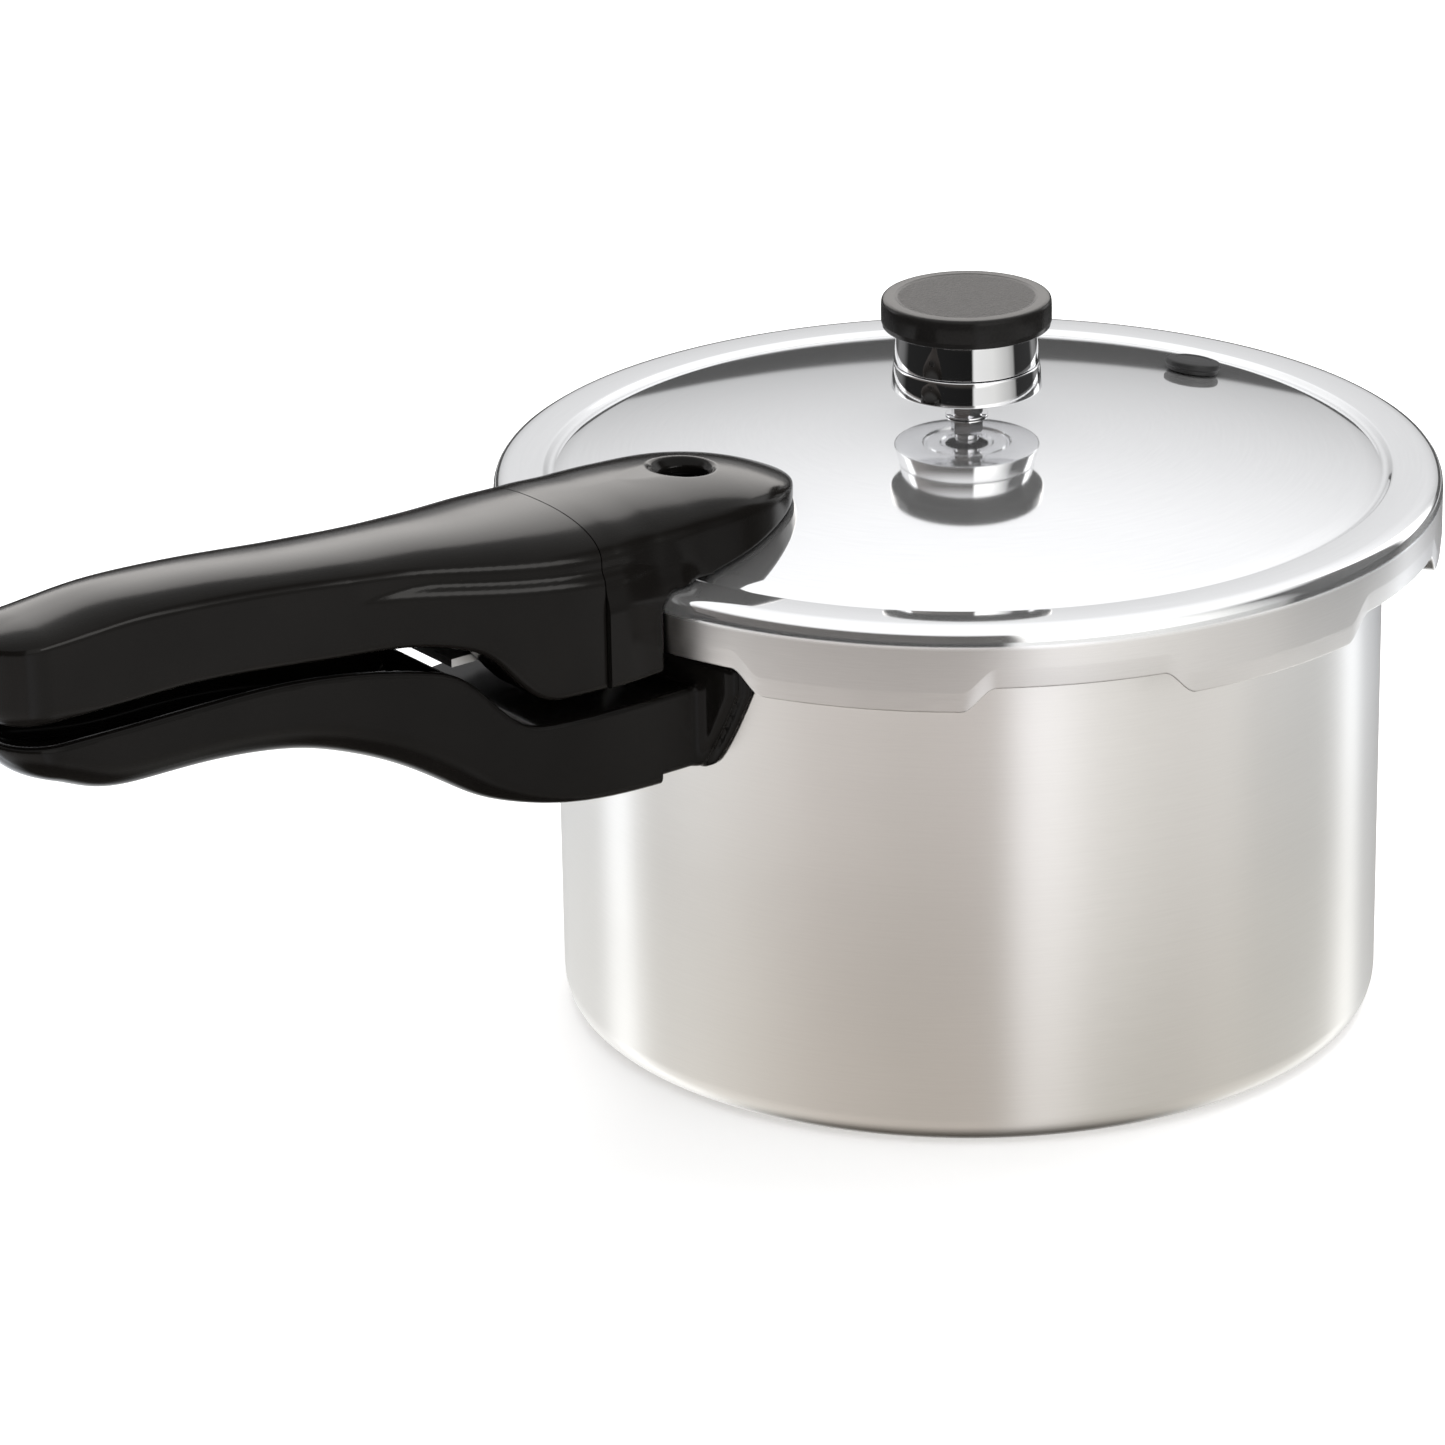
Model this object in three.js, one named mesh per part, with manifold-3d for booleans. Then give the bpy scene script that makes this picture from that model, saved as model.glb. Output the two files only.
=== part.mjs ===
// Stovetop pressure cooker: brushed aluminium pot, lugged cover that turns and lifts off,
// two stacked long handles, a weight regulator on its vent pipe and the cover's safety fittings.
//
// Millimetres, +Z up. The origin is the centre of the pot's flat base, and both handles point along -X.

import * as THREE from 'three';
import { mergeVertices } from 'three/addons/utils/BufferGeometryUtils.js';
import Module from 'manifold-3d';

const wasm = await Module();
wasm.setup();

// ---------------------------------------------------------------- driving dimensions

const GAP = 0.3;
const TURNED = 48;

const POT = { radius: 101.5, wall: 2.4, floor: 3.2, rim: 128.7, corner: 7, innerCorner: 5 };
const RIM = { radius: 108, underside: 124.5, lugRadius: 112.4, lugUnderside: 119.2, lugHalfAngle: 11 };

const LUGS = { count: 7, first: 218, halfAngle: 11.75, ramp: 4.1 };
const LID = { radius: 115.7, sheet: 2.3, ring: 136.7, ringInner: 103.2, crown: 148.6, domeRadius: 97 };
const SKIRT = { wall: 2.4, gapBottom: 122, bottom: 116.2, lipInner: 108.8, lipThickness: 2.2 };
const DOME_CURVE = 0.00122;
const CHANNEL_RIB = { inner: 100.4, outer: 102.6, bottom: 130.4 };
const SEAL = { inner: 104.2, outer: 112.6, bottom: POT.rim + GAP, top: 133.9 };

const SEAM_X = -129;
const COVER_TIP_X = -281;
const POT_HANDLE_TIP_X = -279;
const POT_HANDLE_FRONT_X = -113.8;
const NOSE_HOLE = { x: -86.5, radius: 5.8, sinkRadius: 8.1, sinkDepth: 2.4 };
const HANDLE_WALL = 3.2;
const HANDLE_SPACE = { halfWidth: 30, low: 70, high: 180 };
const SCREW = { headRadius: 4.2, headHeight: 2.2, shank: 1.85, belowTang: 2.5, hole: 2.1 };

const COVER_STRAP = { radius: 116, thickness: 2, halfWidth: 14, bottom: 120, top: 132.5 };
const COVER_TANG = { halfWidth: 8, bottom: 125, thickness: 2, endX: -160 };
const COVER_SCREWS_X = { front: -123.6, rear: -147 };

const POT_STRAP = { radius: 101.9, thickness: 2, halfWidth: 17, bottom: 94, top: 108.5 };
const POT_TANG = { halfWidth: 7.5, bottom: 100, thickness: 2.2, endX: -150 };
const POT_SCREW_X = -132;
const POT_RIVET = { y: 12.5, z: 101.3, radius: 2.2, headRadius: 4.2, headHeight: 1.6 };

const FERRULE = { bottom: 90.9, top: 111.2, halfWidth: 25.4 };
const POT_SIDE = { low: 80, high: 125, insideX: -90, clearance: GAP + 0.1 };
const FLANGE = { bottom: 90, top: 117.6, topHalfWidth: 34, bottomHalfWidth: 22, thickness: 3.4 };

const LOCK_PLATE = { y0: -13, y1: 9, innerX: -77, bottom: 129.4, thickness: 1.4 };
const LOCK_LEG = { x: -97.7, thickness: 1.6, bottom: 108 };
const LOCK_RIVET = { y: 5.5, offsetY: -2, z: 114, radius: 2.2, headRadius: 3.8, headHeight: 1.5 };

const VENT_SEAT = { radius: 8.6, bossRadius: 9.6, top: 138.6, bottom: 135.4, hole: 5.9 };
const PIN = { radius: 3.3, bottom: 123.4, top: 142.6, headRadius: 4.3, headBottom: 140.8 };
const CUP = { radius: 5.5, bottom: 122.5, top: 128.2, bore: 3.6, boreBottom: 123.1 };

const PLUG = { distance: 78, angle: 4, neck: 4.9, hole: 5.2, flange: 6.9, height: 3.4, below: 3.6 };

const PIPE = { radius: 3, bore: 1, bottom: 139, top: 164, hexRadius: 4.1, hexTop: 153.4 };
const PIPE_NUT = { radius: 5.6, bottom: 141.8, top: 146 };
const LID_PIPE_HOLE = 3.3;

const WEIGHT = { bottom: 156.1, groove: 162.8, shoulder: 171.1, neckTop: 176.2, neckRadius: 8 };
const WEIGHT_RADII = { bottom: 18.45, groove: 17.7, shoulder: 16.9, bore: 5.4 };
const CAP = { radius: 20.7, bottom: 171.4, top: 179, edge: 1.6, recessRadius: 8.3, recessTop: 176.5 };
const NEEDLE = { radius: 2.2, tip: 164.4, coneTop: 166.6, top: 170.4, hole: 2.5, holeTop: 170.7 };

const RACK = { radius: 86, rim: 1.6, bottom: 3.5, deck: 9.5, top: 11, holeRadius: 6.5 };

// ---------------------------------------------------------------- materials

function finish(colour, roughness, metalness) {
  return new THREE.MeshStandardMaterial({ color: colour, roughness, metalness });
}

const BRUSHED = [0xc3beb9, 0.38, 1];
const POLISHED = [0xdfe1e4, 0.06, 1];
const PHENOLIC = [0x141210, 0.22, 0];
const CHROME = [0xd6d6d8, 0.05, 1];
const STEEL = [0xa9a9aa, 0.32, 1];
const BLACK_RUBBER = [0x1b1a1b, 0.6, 0];
const GREY_RUBBER = [0x3a3a3c, 0.7, 0];

// ---------------------------------------------------------------- solids

function signedVolume(position, corners) {
  const [a, b, c] = [new THREE.Vector3(), new THREE.Vector3(), new THREE.Vector3()];
  let volume = 0;
  for (let i = 0; i < corners.length; i += 3) {
    a.fromBufferAttribute(position, corners[i]);
    b.fromBufferAttribute(position, corners[i + 1]);
    c.fromBufferAttribute(position, corners[i + 2]);
    volume += a.dot(b.cross(c)) / 6;
  }
  return volume;
}

// A closed three.js geometry as a solid with its faces pointing out.
function solid(geometry) {
  const bare = geometry.clone();
  bare.deleteAttribute('normal');
  bare.deleteAttribute('uv');
  const merged = mergeVertices(bare, 1e-4);
  const index = merged.index.array;
  const corners = [];
  for (let i = 0; i < index.length; i += 3) {
    const [p, q, r] = [index[i], index[i + 1], index[i + 2]];
    if (p !== q && q !== r && r !== p) corners.push(p, q, r);
  }
  if (signedVolume(merged.attributes.position, corners) < 0) corners.reverse();
  return new wasm.Manifold(new wasm.Mesh({
    numProp: 3,
    vertProperties: Float32Array.from(merged.attributes.position.array),
    triVerts: Uint32Array.from(corners),
  }));
}

function geometryOf(body) {
  const mesh = body.getMesh();
  const geometry = new THREE.BufferGeometry();
  geometry.setAttribute('position', new THREE.BufferAttribute(Float32Array.from(mesh.vertProperties), 3));
  geometry.setIndex(new THREE.BufferAttribute(Uint32Array.from(mesh.triVerts), 1));
  geometry.computeVertexNormals();
  return geometry;
}

function piece(name, body, look) {
  const mesh = new THREE.Mesh(geometryOf(body), finish(...look));
  mesh.name = name;
  return mesh;
}

// A profile of [radius, height] points turned about the Z axis.
function turned(profile, segments = TURNED) {
  const points = profile.map(([radius, height]) => new THREE.Vector2(radius, height));
  const geometry = new THREE.LatheGeometry(points, segments);
  geometry.rotateX(Math.PI / 2);
  return solid(geometry);
}

function closedRing(profile, segments = TURNED) {
  return turned([...profile, profile[0]], segments);
}

function cylinder(radius, z0, z1, x = 0, y = 0, segments = 24) {
  const geometry = new THREE.CylinderGeometry(radius, radius, z1 - z0, segments);
  geometry.rotateX(Math.PI / 2);
  geometry.translate(x, y, (z0 + z1) / 2);
  return solid(geometry);
}

function box([x0, y0, z0], [x1, y1, z1]) {
  const geometry = new THREE.BoxGeometry(x1 - x0, y1 - y0, z1 - z0);
  geometry.translate((x0 + x1) / 2, (y0 + y1) / 2, (z0 + z1) / 2);
  return solid(geometry);
}

function shapeOf(points) {
  return new THREE.Shape(points.map(([x, y]) => new THREE.Vector2(x, y)));
}

// An outline in plan, between two heights.
function plate(shape, z0, z1, curveSegments = 8) {
  const geometry = new THREE.ExtrudeGeometry(shape, { depth: z1 - z0, bevelEnabled: false, curveSegments });
  geometry.translate(0, 0, z0);
  return solid(geometry);
}

// An outline of [x, z] points, reaching halfWidth to each side of y = 0.
function slab(points, halfWidth) {
  const geometry = new THREE.ExtrudeGeometry(shapeOf(points), { depth: 2 * halfWidth, bevelEnabled: false });
  geometry.rotateX(Math.PI / 2);
  geometry.translate(0, halfWidth, 0);
  return solid(geometry);
}

function radians(degrees) {
  return THREE.MathUtils.degToRad(degrees);
}

// A sector of a ring in plan, centred on the direction given in degrees.
function sector(inner, outer, centre, halfAngle, z0, z1) {
  const from = radians(centre - halfAngle);
  const to = radians(centre + halfAngle);
  const shape = new THREE.Shape();
  shape.absarc(0, 0, outer, from, to, false);
  shape.absarc(0, 0, inner, to, from, true);
  return plate(shape, z0, z1, 3);
}

function arc(centreX, centreY, radius, fromDegrees, toDegrees, steps) {
  return Array.from({ length: steps + 1 }, (_, i) => {
    const angle = radians(fromDegrees + ((toDegrees - fromDegrees) * i) / steps);
    return [centreX + radius * Math.cos(angle), centreY + radius * Math.sin(angle)];
  });
}

function smooth(points, steps) {
  const curve = new THREE.SplineCurve(points.map(([x, y]) => new THREE.Vector2(x, y)));
  return curve.getPoints(steps).map((point) => [point.x, point.y]);
}

function lugDirections() {
  return Array.from({ length: LUGS.count }, (_, i) => LUGS.first + (i * 360) / LUGS.count);
}

// ---------------------------------------------------------------- pot

function radialHole(angle, z, radius) {
  const geometry = new THREE.CylinderGeometry(radius, radius, 30, 16);
  geometry.rotateZ(Math.PI / 2);
  geometry.translate(-POT.radius, 0, z);
  geometry.rotateZ(radians(angle));
  return solid(geometry);
}

const POT_RIVET_ANGLE = THREE.MathUtils.radToDeg(Math.asin(POT_RIVET.y / POT.radius));

function alongX(body, y, z) {
  return body.rotate([0, 90, 0]).translate([0, y, z]);
}

function lockRivetHole(side) {
  return alongX(cylinder(LOCK_RIVET.radius + GAP, -106, -90, 0, 0, 16), lockRivetY(side), LOCK_RIVET.z);
}

function lockRivetY(side) {
  return LOCK_RIVET.offsetY + side * LOCK_RIVET.y;
}

function potBody() {
  const inner = POT.radius - POT.wall;
  let pot = turned([
    [0, 0],
    ...arc(POT.radius - POT.corner, POT.corner, POT.corner, -90, 0, 4),
    [POT.radius, 121.8],
    [103.4, 124.2],
    [RIM.radius, RIM.underside],
    [RIM.radius, POT.rim],
    [inner + 1.4, POT.rim],
    [inner, POT.rim - 1.4],
    ...arc(inner - POT.innerCorner, POT.floor + POT.innerCorner, POT.innerCorner, 0, -90, 3),
    [0, POT.floor],
  ]);
  for (const direction of lugDirections()) {
    const lug = sector(inner + 0.8, RIM.lugRadius, direction, RIM.lugHalfAngle, RIM.lugUnderside, POT.rim);
    pot = pot.add(lug);
  }
  for (const side of [-1, 1]) {
    pot = pot.subtract(radialHole(side * POT_RIVET_ANGLE, POT_RIVET.z, POT_RIVET.radius + GAP));
    pot = pot.subtract(lockRivetHole(side));
  }
  return piece('pot_body', pot, BRUSHED);
}

function potHandleBracket() {
  const { radius, thickness, halfWidth, bottom, top } = POT_STRAP;
  const halfAngle = THREE.MathUtils.radToDeg(Math.asin(halfWidth / radius));
  let bracket = sector(radius, radius + thickness, 180, halfAngle, bottom, top);
  const { halfWidth: w, bottom: z, thickness: t, endX } = POT_TANG;
  bracket = bracket.add(box([endX, -w, z], [-radius - 0.6, w, z + t]));
  for (const side of [-1, 1]) {
    bracket = bracket.subtract(radialHole(side * POT_RIVET_ANGLE, POT_RIVET.z, POT_RIVET.radius + GAP));
  }
  bracket = bracket.subtract(cylinder(SCREW.hole, z - 2, z + t + 2, POT_SCREW_X, 0, 16));
  return piece('pot_handle_bracket', bracket, STEEL);
}

// Headed at both ends, lying along the pot's radius. Distances are from the pot's axis.
function bracketRivet(name, side) {
  const { radius, headRadius, headHeight } = POT_RIVET;
  const inside = POT.radius - POT.wall - GAP;
  const outside = POT_STRAP.radius + POT_STRAP.thickness + GAP;
  const rivet = turned([
    [0, inside - headHeight],
    [headRadius - 1.2, inside - headHeight],
    [headRadius, inside - 0.5],
    [headRadius, inside],
    [radius, inside],
    [radius, outside],
    [headRadius, outside],
    [headRadius, outside + 0.5],
    [headRadius - 1.2, outside + headHeight],
    [0, outside + headHeight],
  ], 16);
  const mesh = piece(name, rivet, STEEL);
  mesh.rotation.set(0, -Math.PI / 2, 0);
  mesh.position.z = POT_RIVET.z;
  const pivot = new THREE.Group();
  pivot.rotation.z = radians(side * POT_RIVET_ANGLE);
  pivot.add(mesh);
  return pivot;
}

// ---------------------------------------------------------------- handle outlines

// Half the handles' width at stations along -X, from the rounded tip to the nose over the cover.
const PLAN_STATIONS = [
  [-263, 13.4], [-240, 14], [-215, 14.5], [-195, 15.2], [-180, 16.8], [-166, 19.6],
  [-152, 22.8], [-141, 25.2], [-129, 26.3], [-114, 26.3],
];

function tipArc(tipX, stationX, halfWidth, steps) {
  const length = stationX - tipX;
  return Array.from({ length: steps }, (_, i) => {
    const angle = (Math.PI / 2) * (i / steps);
    return [stationX - length * Math.cos(angle), halfWidth * Math.sin(angle)];
  });
}

function mirrored(side) {
  const far = side.filter(([, y]) => y > 0.01).map(([x, y]) => [x, -y]).reverse();
  return [...side, ...far];
}

function gripPlan(tipX, endX, inset = 0) {
  const stations = PLAN_STATIONS.map(([x, w]) => [x, w - inset]);
  const round = tipArc(tipX + inset, stations[0][0], stations[0][1], 6);
  const flank = smooth(stations, 18).filter(([x]) => x < endX);
  return mirrored([...round, ...flank, [endX, stations.at(-1)[1]]]);
}

const NOSE = { tipX: -58, shoulderX: -106, halfWidth: 26.3 };

function nosePlan(inset = 0) {
  const w = NOSE.halfWidth - inset;
  const reach = NOSE.tipX - NOSE.shoulderX - inset;
  const round = Array.from({ length: 13 }, (_, i) => {
    const angle = (Math.PI / 2) * (1 - i / 12);
    return [NOSE.shoulderX + reach * Math.cos(angle), w * Math.sin(angle)];
  });
  return mirrored([[SEAM_X, w], ...round]);
}

// A side outline of [x, z] points crossed with a plan outline of [x, y] points.
function handleForm(side, plan) {
  const { halfWidth, low, high } = HANDLE_SPACE;
  return slab(side, halfWidth).intersect(plate(shapeOf(plan), low, high));
}

// ---------------------------------------------------------------- pot handle

const POT_HANDLE_TOP = [
  [POT_HANDLE_FRONT_X, 111.5], [-143, 111.5], [-149.5, 112.6], [-154.5, 116.8], [-160, 123],
  [-166, 127.2], [-176, 130.4], [-188, 132.8], [-203, 134.3], [-240, 134.5], [-270, 134.5],
];
const POT_HANDLE_UNDERSIDE = [
  [-270, 129], [-264, 126.2], [-254, 123.2], [-240, 122.4], [-226, 122.4], [-212, 120.8],
  [-198, 117.9], [-187, 113.9], [-175, 108], [-165, 101.2], [-157, 96.6], [-147, 93.6],
  [-130, 90.8], [POT_HANDLE_FRONT_X, 90],
];

function potHandleFerrule() {
  const reach = FLANGE.thickness;
  const { low, high, insideX, clearance } = POT_SIDE;
  const sleeve = box([POT_HANDLE_FRONT_X + GAP, -FERRULE.halfWidth, FERRULE.bottom],
    [insideX, FERRULE.halfWidth, FERRULE.top]);
  const half = [
    [FLANGE.bottomHalfWidth, FLANGE.bottom],
    [FLANGE.bottomHalfWidth + 6, 93.4],
    [FLANGE.topHalfWidth - 1.6, 101.5],
    [FLANGE.topHalfWidth, 108.5],
    [FLANGE.topHalfWidth, FLANGE.top],
  ];
  const outline = [...half, ...half.map(([y, z]) => [-y, z]).reverse()];
  const geometry = new THREE.ExtrudeGeometry(shapeOf(outline), { depth: 30, bevelEnabled: false });
  geometry.rotateX(Math.PI / 2);
  geometry.rotateZ(-Math.PI / 2);
  geometry.translate(-85, 0, 0);
  const jacket = closedRing([
    [POT.radius + clearance, low], [POT.radius + reach, low],
    [POT.radius + reach, high], [POT.radius + clearance, high],
  ]);
  const flange = solid(geometry).intersect(jacket);
  const potRoom = cylinder(POT.radius + clearance, low, high, 0, 0, TURNED);
  const strapRoom = box([-107.2, -POT_STRAP.halfWidth - 1.4, POT_STRAP.bottom - 0.8],
    [insideX, POT_STRAP.halfWidth + 1.4, POT_STRAP.top + 0.8]);
  return piece('pot_handle_ferrule', flange.add(sleeve.subtract(potRoom)).subtract(strapRoom)
    .subtract(tangRoom()), PHENOLIC);
}

function tangRoom() {
  const { halfWidth, bottom, thickness, endX } = POT_TANG;
  return box([endX - 1, -halfWidth - 0.6, bottom - 3],
    [POT_SIDE.insideX, halfWidth + 0.6, bottom + thickness + 0.5]);
}

function potHandle() {
  const side = [
    ...smooth(POT_HANDLE_TOP, 22),
    [-276.5, 134.6],
    [POT_HANDLE_TIP_X, 133.4],
    ...smooth(POT_HANDLE_UNDERSIDE, 22),
  ];
  const plan = gripPlan(POT_HANDLE_TIP_X, POT_HANDLE_FRONT_X);
  let handle = handleForm(side, plan);
  const trough = [
    [-161, 140], [-166, 122], [-176, 115.6], [-188, 119.6], [-198, 122.4], [-212, 124.9],
    [-226, 126.2], [-250, 126.8], [-264, 129.8], [-272, 132], [-276, 140],
  ];
  const hollow = handleForm(trough, gripPlan(POT_HANDLE_TIP_X, -120, HANDLE_WALL));
  handle = handle.subtract(hollow).subtract(tangRoom());
  handle = handle.subtract(cylinder(2.2, 80, 108, POT_SCREW_X, 0, 16));
  handle = handle.subtract(cylinder(5, 80, POT_TANG.bottom - GAP, POT_SCREW_X, 0, 20));
  return piece('pot_handle', handle, PHENOLIC);
}

// A pan-head screw standing head down on the Z axis, its head from z = 0.
function screwSolid(length) {
  const { headRadius, headHeight, shank } = SCREW;
  return turned([
    [0, 0],
    [headRadius - 1.1, 0],
    [headRadius, 1],
    [headRadius, headHeight],
    [shank, headHeight],
    [shank, headHeight + length - 1],
    [shank - 0.9, headHeight + length],
    [0, headHeight + length],
  ], 16).subtract(box([-3, -0.5, -1], [3, 0.5, 1]));
}

function screw(name, x, tang, length) {
  const mesh = piece(name, screwSolid(length), STEEL);
  mesh.position.set(x, 0, tang.bottom - SCREW.belowTang);
  return mesh;
}

// ---------------------------------------------------------------- lock bracket and rack

// The fork inside the rim. The vent pin's stem passes its curved slot, and its raised cup doesn't.
function lockBracket() {
  const { y0, y1, innerX, bottom, thickness } = LOCK_PLATE;
  const top = bottom + thickness;
  const leg = box([LOCK_LEG.x, y0 + 3, LOCK_LEG.bottom], [LOCK_LEG.x + LOCK_LEG.thickness, y1 - 2, top]);
  const shelf = box([LOCK_LEG.x, y0, bottom], [innerX, y1, top]);
  const keyhole = cylinder(CUP.radius + 0.8, bottom - 2, top + 2, NOSE_HOLE.x, 0, 20);
  const slotHalf = PIN.radius + 0.7;
  const slot = sector(-NOSE_HOLE.x - slotHalf, -NOSE_HOLE.x + slotHalf, 186, 6, bottom - 2, top + 2);
  let bracket = leg.add(shelf).subtract(keyhole).subtract(slot);
  for (const side of [-1, 1]) bracket = bracket.subtract(lockRivetHole(side));
  return piece('lock_bracket', bracket, STEEL);
}

function lockRivet(name, side) {
  const outside = POT.radius - 0.5 - GAP;
  const head = -(LOCK_LEG.x + LOCK_LEG.thickness) - GAP;
  const { radius, headRadius, headHeight } = LOCK_RIVET;
  const mesh = piece(name, turned([
    [0, head - headHeight],
    [headRadius - 1, head - headHeight],
    [headRadius, head - 0.5],
    [headRadius, head],
    [radius, head],
    [radius, outside],
    [0, outside],
  ], 16), STEEL);
  mesh.rotation.set(0, -Math.PI / 2, 0);
  mesh.position.set(0, lockRivetY(side), LOCK_RIVET.z);
  return mesh;
}

function cookingRack() {
  const deck = shapeOf(arc(0, 0, RACK.radius - 0.8, 0, 350, 35));
  const rings = [[0, 1], [26, 6], [52, 12]];
  for (const [distance, count] of rings) {
    for (let i = 0; i < count; i += 1) {
      const [[x, y]] = arc(0, 0, distance, (360 * i) / count, 0, 1);
      const round = arc(x, y, RACK.holeRadius, 0, -320, 8);
      deck.holes.push(new THREE.Path(round.map(([u, v]) => new THREE.Vector2(u, v))));
    }
  }
  const rim = closedRing([
    [RACK.radius - RACK.rim, RACK.bottom], [RACK.radius, RACK.bottom],
    [RACK.radius, RACK.top], [RACK.radius - RACK.rim, RACK.top],
  ], 36);
  return piece('cooking_rack', plate(deck, RACK.deck, RACK.top).add(rim), BRUSHED);
}

// ---------------------------------------------------------------- cover

function domeHeight(radius) {
  return LID.crown - DOME_CURVE * radius * radius;
}

function domeStations(steps) {
  return Array.from({ length: steps + 1 }, (_, i) => (LID.domeRadius * i) / steps);
}

// Opens the skirt between two lugs: level at the top, with a sloping end towards each lug.
function skirtGap(direction) {
  const chord = (degrees) => LID.radius * radians(degrees);
  const pitch = 360 / LUGS.count;
  const low = chord(pitch / 2 - LUGS.halfAngle);
  const high = chord(pitch / 2 - LUGS.halfAngle - LUGS.ramp);
  const slope = (low - high) / (SKIRT.gapBottom - SKIRT.bottom);
  const base = SKIRT.bottom - 2;
  const shape = shapeOf([
    [-low - 2 * slope, base], [low + 2 * slope, base], [high, SKIRT.gapBottom], [-high, SKIRT.gapBottom],
  ]);
  const geometry = new THREE.ExtrudeGeometry(shape, { depth: 16, bevelEnabled: false });
  geometry.rotateX(Math.PI / 2);
  geometry.translate(0, LID.radius + 3, 0);
  geometry.rotateZ(radians(direction - 90));
  return solid(geometry);
}

function plugFrame() {
  const tilt = Math.atan(2 * DOME_CURVE * PLUG.distance);
  const frame = new THREE.Group();
  frame.rotation.z = radians(PLUG.angle);
  const seat = new THREE.Group();
  seat.position.set(PLUG.distance, 0, domeHeight(PLUG.distance));
  seat.rotation.y = tilt;
  frame.add(seat);
  frame.updateMatrixWorld(true);
  return { frame, seat };
}

function coverLid() {
  const skirtInner = LID.radius - SKIRT.wall;
  const underRing = LID.ring - LID.sheet;
  const stations = domeStations(5);
  const lipTop = SKIRT.bottom + SKIRT.lipThickness;
  let lid = turned([
    ...stations.map((r) => [r, domeHeight(r)]),
    [99.8, 135.8],
    [101.8, 135.8],
    [LID.ringInner, LID.ring],
    ...arc(LID.radius - 4.6, LID.ring - 4.6, 4.6, 90, 0, 3),
    [LID.radius, SKIRT.bottom + 1.6],
    [LID.radius - 1.6, SKIRT.bottom],
    [SKIRT.lipInner, SKIRT.bottom],
    [SKIRT.lipInner, lipTop],
    [skirtInner, lipTop],
    [skirtInner, LID.ring - 4.6],
    [skirtInner - 2.3, underRing],
    [CHANNEL_RIB.outer + 1, underRing],
    [CHANNEL_RIB.outer, underRing - 1],
    [CHANNEL_RIB.outer, CHANNEL_RIB.bottom],
    [CHANNEL_RIB.inner, CHANNEL_RIB.bottom],
    [CHANNEL_RIB.inner, 133.2],
    ...stations.reverse().map((r) => [r, domeHeight(r) - LID.sheet]),
  ]);
  for (const direction of lugDirections()) {
    lid = lid.subtract(skirtGap(direction + 180 / LUGS.count));
  }
  const { x } = NOSE_HOLE;
  lid = lid.add(cylinder(VENT_SEAT.bossRadius, VENT_SEAT.bottom, VENT_SEAT.top + 0.4, x, 0));
  lid = lid.subtract(cylinder(VENT_SEAT.radius, VENT_SEAT.top, LID.crown, x, 0));
  lid = lid.subtract(cylinder(VENT_SEAT.hole, 130, LID.crown, x, 0));
  lid = lid.subtract(cylinder(LID_PIPE_HOLE, 140, 152, 0, 0, 18));
  const plugHole = new THREE.CylinderGeometry(PLUG.hole, PLUG.hole, 12, 24);
  plugHole.rotateX(Math.PI / 2);
  plugHole.applyMatrix4(plugFrame().seat.matrixWorld);
  return piece('cover_lid', lid.subtract(solid(plugHole)), POLISHED);
}

function sealingRing() {
  const { inner, outer, bottom, top } = SEAL;
  return piece('sealing_ring', closedRing([
    [inner, bottom + 0.8], [inner + 0.8, bottom], [outer - 0.8, bottom], [outer, bottom + 0.8],
    [outer, top - 2.4], [outer - 2.2, top], [inner + 0.8, top], [inner, top - 0.8],
  ]), GREY_RUBBER);
}

function overpressurePlug() {
  const { neck, flange, height, below } = PLUG;
  const underSheet = -LID.sheet - GAP;
  const plug = turned([
    [0, -below - LID.sheet],
    [neck - 1, -below - LID.sheet],
    [neck + 0.9, underSheet - 1.2],
    [neck + 0.9, underSheet],
    [neck, underSheet],
    [neck, GAP],
    [flange - 0.5, GAP],
    [flange - 0.5, height - 2.4],
    [flange, height - 1.8],
    [flange, height - 0.6],
    [flange - 0.8, height],
    [0, height + 0.3],
  ], 20);
  const { frame, seat } = plugFrame();
  seat.add(piece('overpressure_plug', plug, BLACK_RUBBER));
  return frame;
}

// ---------------------------------------------------------------- cover handle

const COVER_HANDLE_TOP = [
  [-262, 162.6], [-250, 163.8], [-236, 163.8], [-222, 163], [-205, 161.4], [-188, 159.8],
  [-168, 158.4], [-148, 157.2], [SEAM_X, 156.6],
];
const COVER_HANDLE_UNDERSIDE = [
  [SEAM_X, 117.6], [-139, 117.2], [-144, 118], [-148.5, 120.8], [-152, 125], [-155.6, 129.4],
  [-161, 132.8], [-170, 135.8], [-184, 138.6], [-200, 140.9], [-218, 142.2], [-236, 142],
  [-250, 141.2], [-262, 141.2],
];

function coverHandleGrip() {
  const tip = { x: -262, reach: 19, middle: 151.9, half: 10.7 };
  const roundEnd = Array.from({ length: 7 }, (_, i) => {
    const angle = radians(-90 + 180 * ((i + 1) / 8));
    return [tip.x - tip.reach * Math.cos(angle), tip.middle + tip.half * Math.sin(angle)];
  });
  const side = [
    ...smooth(COVER_HANDLE_TOP, 14),
    ...smooth(COVER_HANDLE_UNDERSIDE, 26),
    ...roundEnd,
  ];
  const plan = gripPlan(COVER_TIP_X, SEAM_X - GAP / 2);
  let grip = handleForm(side, plan);
  grip = grip.subtract(coverTangRoom()).subtract(cylinder(SCREW.hole, 120, 141, COVER_SCREWS_X.rear, 0, 16));
  return piece('cover_handle_grip', grip, PHENOLIC);
}

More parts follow.
